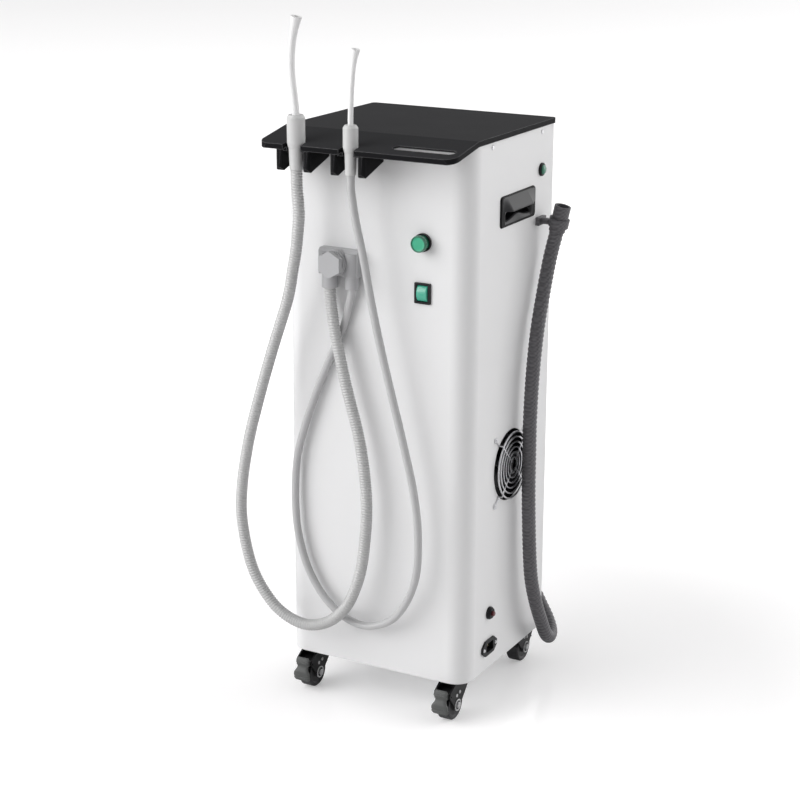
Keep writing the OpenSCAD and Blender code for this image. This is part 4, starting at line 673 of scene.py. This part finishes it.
# Caster trim: plated rivets, a hub ring and an axle nut on both cheeks of
# each fork. The tree sets one fitting on each spot, facing away from the pin.
nut_grey = surface("nut_grey", (0.50, 0.50, 0.505), roughness=0.35, edge_width=0.0)
trim_tree, trim_in = new_tree("cheek_fittings", {"Fitting": "Object", "Pin X": "Float",
                                                 "Material": "Material"})
trim_spot = Socket.add(trim_tree, "GeometryNodeInputPosition")
trim_x = Socket.add(trim_tree, "ShaderNodeSeparateXYZ", {}, {0: trim_spot}, "X") - trim_in["Pin X"]
outward = Socket.add(trim_tree, "ShaderNodeCombineXYZ", {}, {"X": trim_x.maths("SIGN", trim_x)})
trim_turn = Socket.add(trim_tree, "FunctionNodeAlignRotationToVector", {"axis": "Z"},
                       {"Vector": outward})
fitting_in = Socket.add(trim_tree, "GeometryNodeObjectInfo", {}, {"Object": trim_in["Fitting"]},
                        "Geometry")
trim_set = Socket.add(trim_tree, "GeometryNodeInstanceOnPoints", {}, {
    "Points": trim_in["Geometry"], "Instance": fitting_in, "Rotation": trim_turn})
close_tree(trim_tree, trim_set, trim_in["Material"])

cheek_face = 14.2
axle_spot, rivet_spots = (21, 24.5), [(14.5, 44), (24.5, 41.5)]
rivet = [(2.7, -0.2), (2.6, 0.7), (1.7, 1.2), (0, 1.4)]
axle_nut = [(4.6, -0.2), (4.6, 2.6), (4.0, 3.3), (2.2, 3.6), (0, 3.6)]
hub_ring = [(9.4, -0.4), (9.4, 0.9), (8.9, 1.2), (7.9, 1.2), (7.4, 0.9), (7.4, -0.4)]
fittings = []
for profile, spots in ((hub_ring, [axle_spot]), (axle_nut, [axle_spot]), (rivet, rivet_spots)):
    fitting_bm = bmesh.new()
    lathe(fitting_bm, Matrix.Scale(0.001, 4), profile, 32)
    fittings.append((mesh_piece("fitting", fitting_bm, nut_grey), spots))
for corner, side_x, side_y in caster_corners:
    trim_bm = bmesh.new()
    for fitting, spots in fittings:
        points = [body(side_x * caster_x + u * cheek_face, side_y * (caster_y + along), up)
                  for u in (-1, 1) for along, up in spots]
        piece_bm = grown(trim_tree, points, [], {
            "Fitting": fitting, "Pin X": body(side_x * caster_x, 0, 0).x, "Material": nut_grey})
        piece = bpy.data.meshes.new("fittings")
        piece_bm.to_mesh(piece)
        piece_bm.free()
        trim_bm.from_mesh(piece)
        bpy.data.meshes.remove(piece)
    trim = mesh_piece(corner + "_trim", trim_bm, nut_grey, 50)
    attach(trim, corner + "_swivel")
for fitting, _ in fittings:
    bpy.data.objects.remove(fitting)

# Finishing: every piece that keeps its CAD mesh is shaded smooth between its
# sharp edges, as moulded and bent parts are
for obj in nodes.values():
    if obj.type == "MESH":
        for polygon in obj.data.polygons:
            polygon.use_smooth = True
        obj.data.set_sharp_from_angle(angle=math.radians(35))

# Studio floor: one pale sheet with a glossy coat, far wider than the view. It
# fades into the white backdrop with distance, so that no horizon shows.
floor_bm = bmesh.new()
bmesh.ops.create_grid(floor_bm, x_segments=1, y_segments=1, size=30)
floor_material = bpy.data.materials.new("floor_pale")
floor_material.use_nodes = True
floor_tree = floor_material.node_tree
floor_place = Socket.add(floor_tree, "ShaderNodeTexCoord", pick="Object")
floor_far = floor_place.vector_maths("LENGTH", {}, "Value")
floor_fade = ((floor_far - 0.55) / 1.1).clamped()
floor_seen = Socket.add(floor_tree, "ShaderNodeLightPath", pick="Is Camera Ray")
Socket.plug(floor_tree.nodes["Principled BSDF"], {
    "Base Color": (0.90, 0.89, 0.895, 1), "Roughness": 0.6, "Specular IOR Level": 0.0,
    "Coat Weight": 0.9, "Coat Roughness": 0.06, "Coat IOR": 1.45, "Emission Color": (1, 1, 1, 1),
    "Emission Strength": floor_seen * (floor_fade * 0.6 + 0.34)})
floor = mesh_piece("floor", floor_bm, floor_material)

# Studio light: soft light from the left front and the right rear, a little
# from everywhere, and one large disk lamp; the camera sees plain white
world = bpy.data.worlds.new("studio")
bpy.context.scene.world = world
world.use_nodes = True
world_tree = world.node_tree
white = (1.0, 1.0, 1.0, 1)
direction = Socket.add(world_tree, "ShaderNodeTexCoord", pick="Generated")


# Light from one side of the studio, strongest in the direction given
def glow(toward, strength):
    facing = direction.vector_maths("DOT_PRODUCT", {1: toward}, "Value").clamped()
    squared = facing * facing
    return squared * squared * strength


world_light = glow((-0.74, -0.64, 0.22), 2.75) + glow((0.68, 0.71, 0.18), 2.65) + 0.26
lighting = world_tree.nodes["Background"]
Socket.plug(lighting, {"Color": white, "Strength": world_light})
backdrop = Socket.add(world_tree, "ShaderNodeBackground", {}, {"Color": white})
seen = Socket.add(world_tree, "ShaderNodeLightPath", pick="Is Camera Ray")
world_mix = Socket.add(world_tree, "ShaderNodeMixShader", {},
                       {0: seen, 1: Socket(lighting.outputs[0]), 2: backdrop})
Socket.plug(world_tree.nodes["World Output"], {"Surface": world_mix})

key_data = bpy.data.lights.new("key", "AREA")
key_data.shape = "DISK"
key_data.size = 1.8
key_data.energy = 16
key = bpy.data.objects.new("key", key_data)
bpy.context.collection.objects.link(key)
key.location = (-1.3, -1.6, 1.7)
key.rotation_euler = (Vector((0, 0, 0.6)) - key.location).to_track_quat("-Z", "Y").to_euler()
bpy.context.scene.view_settings.view_transform = "Standard"
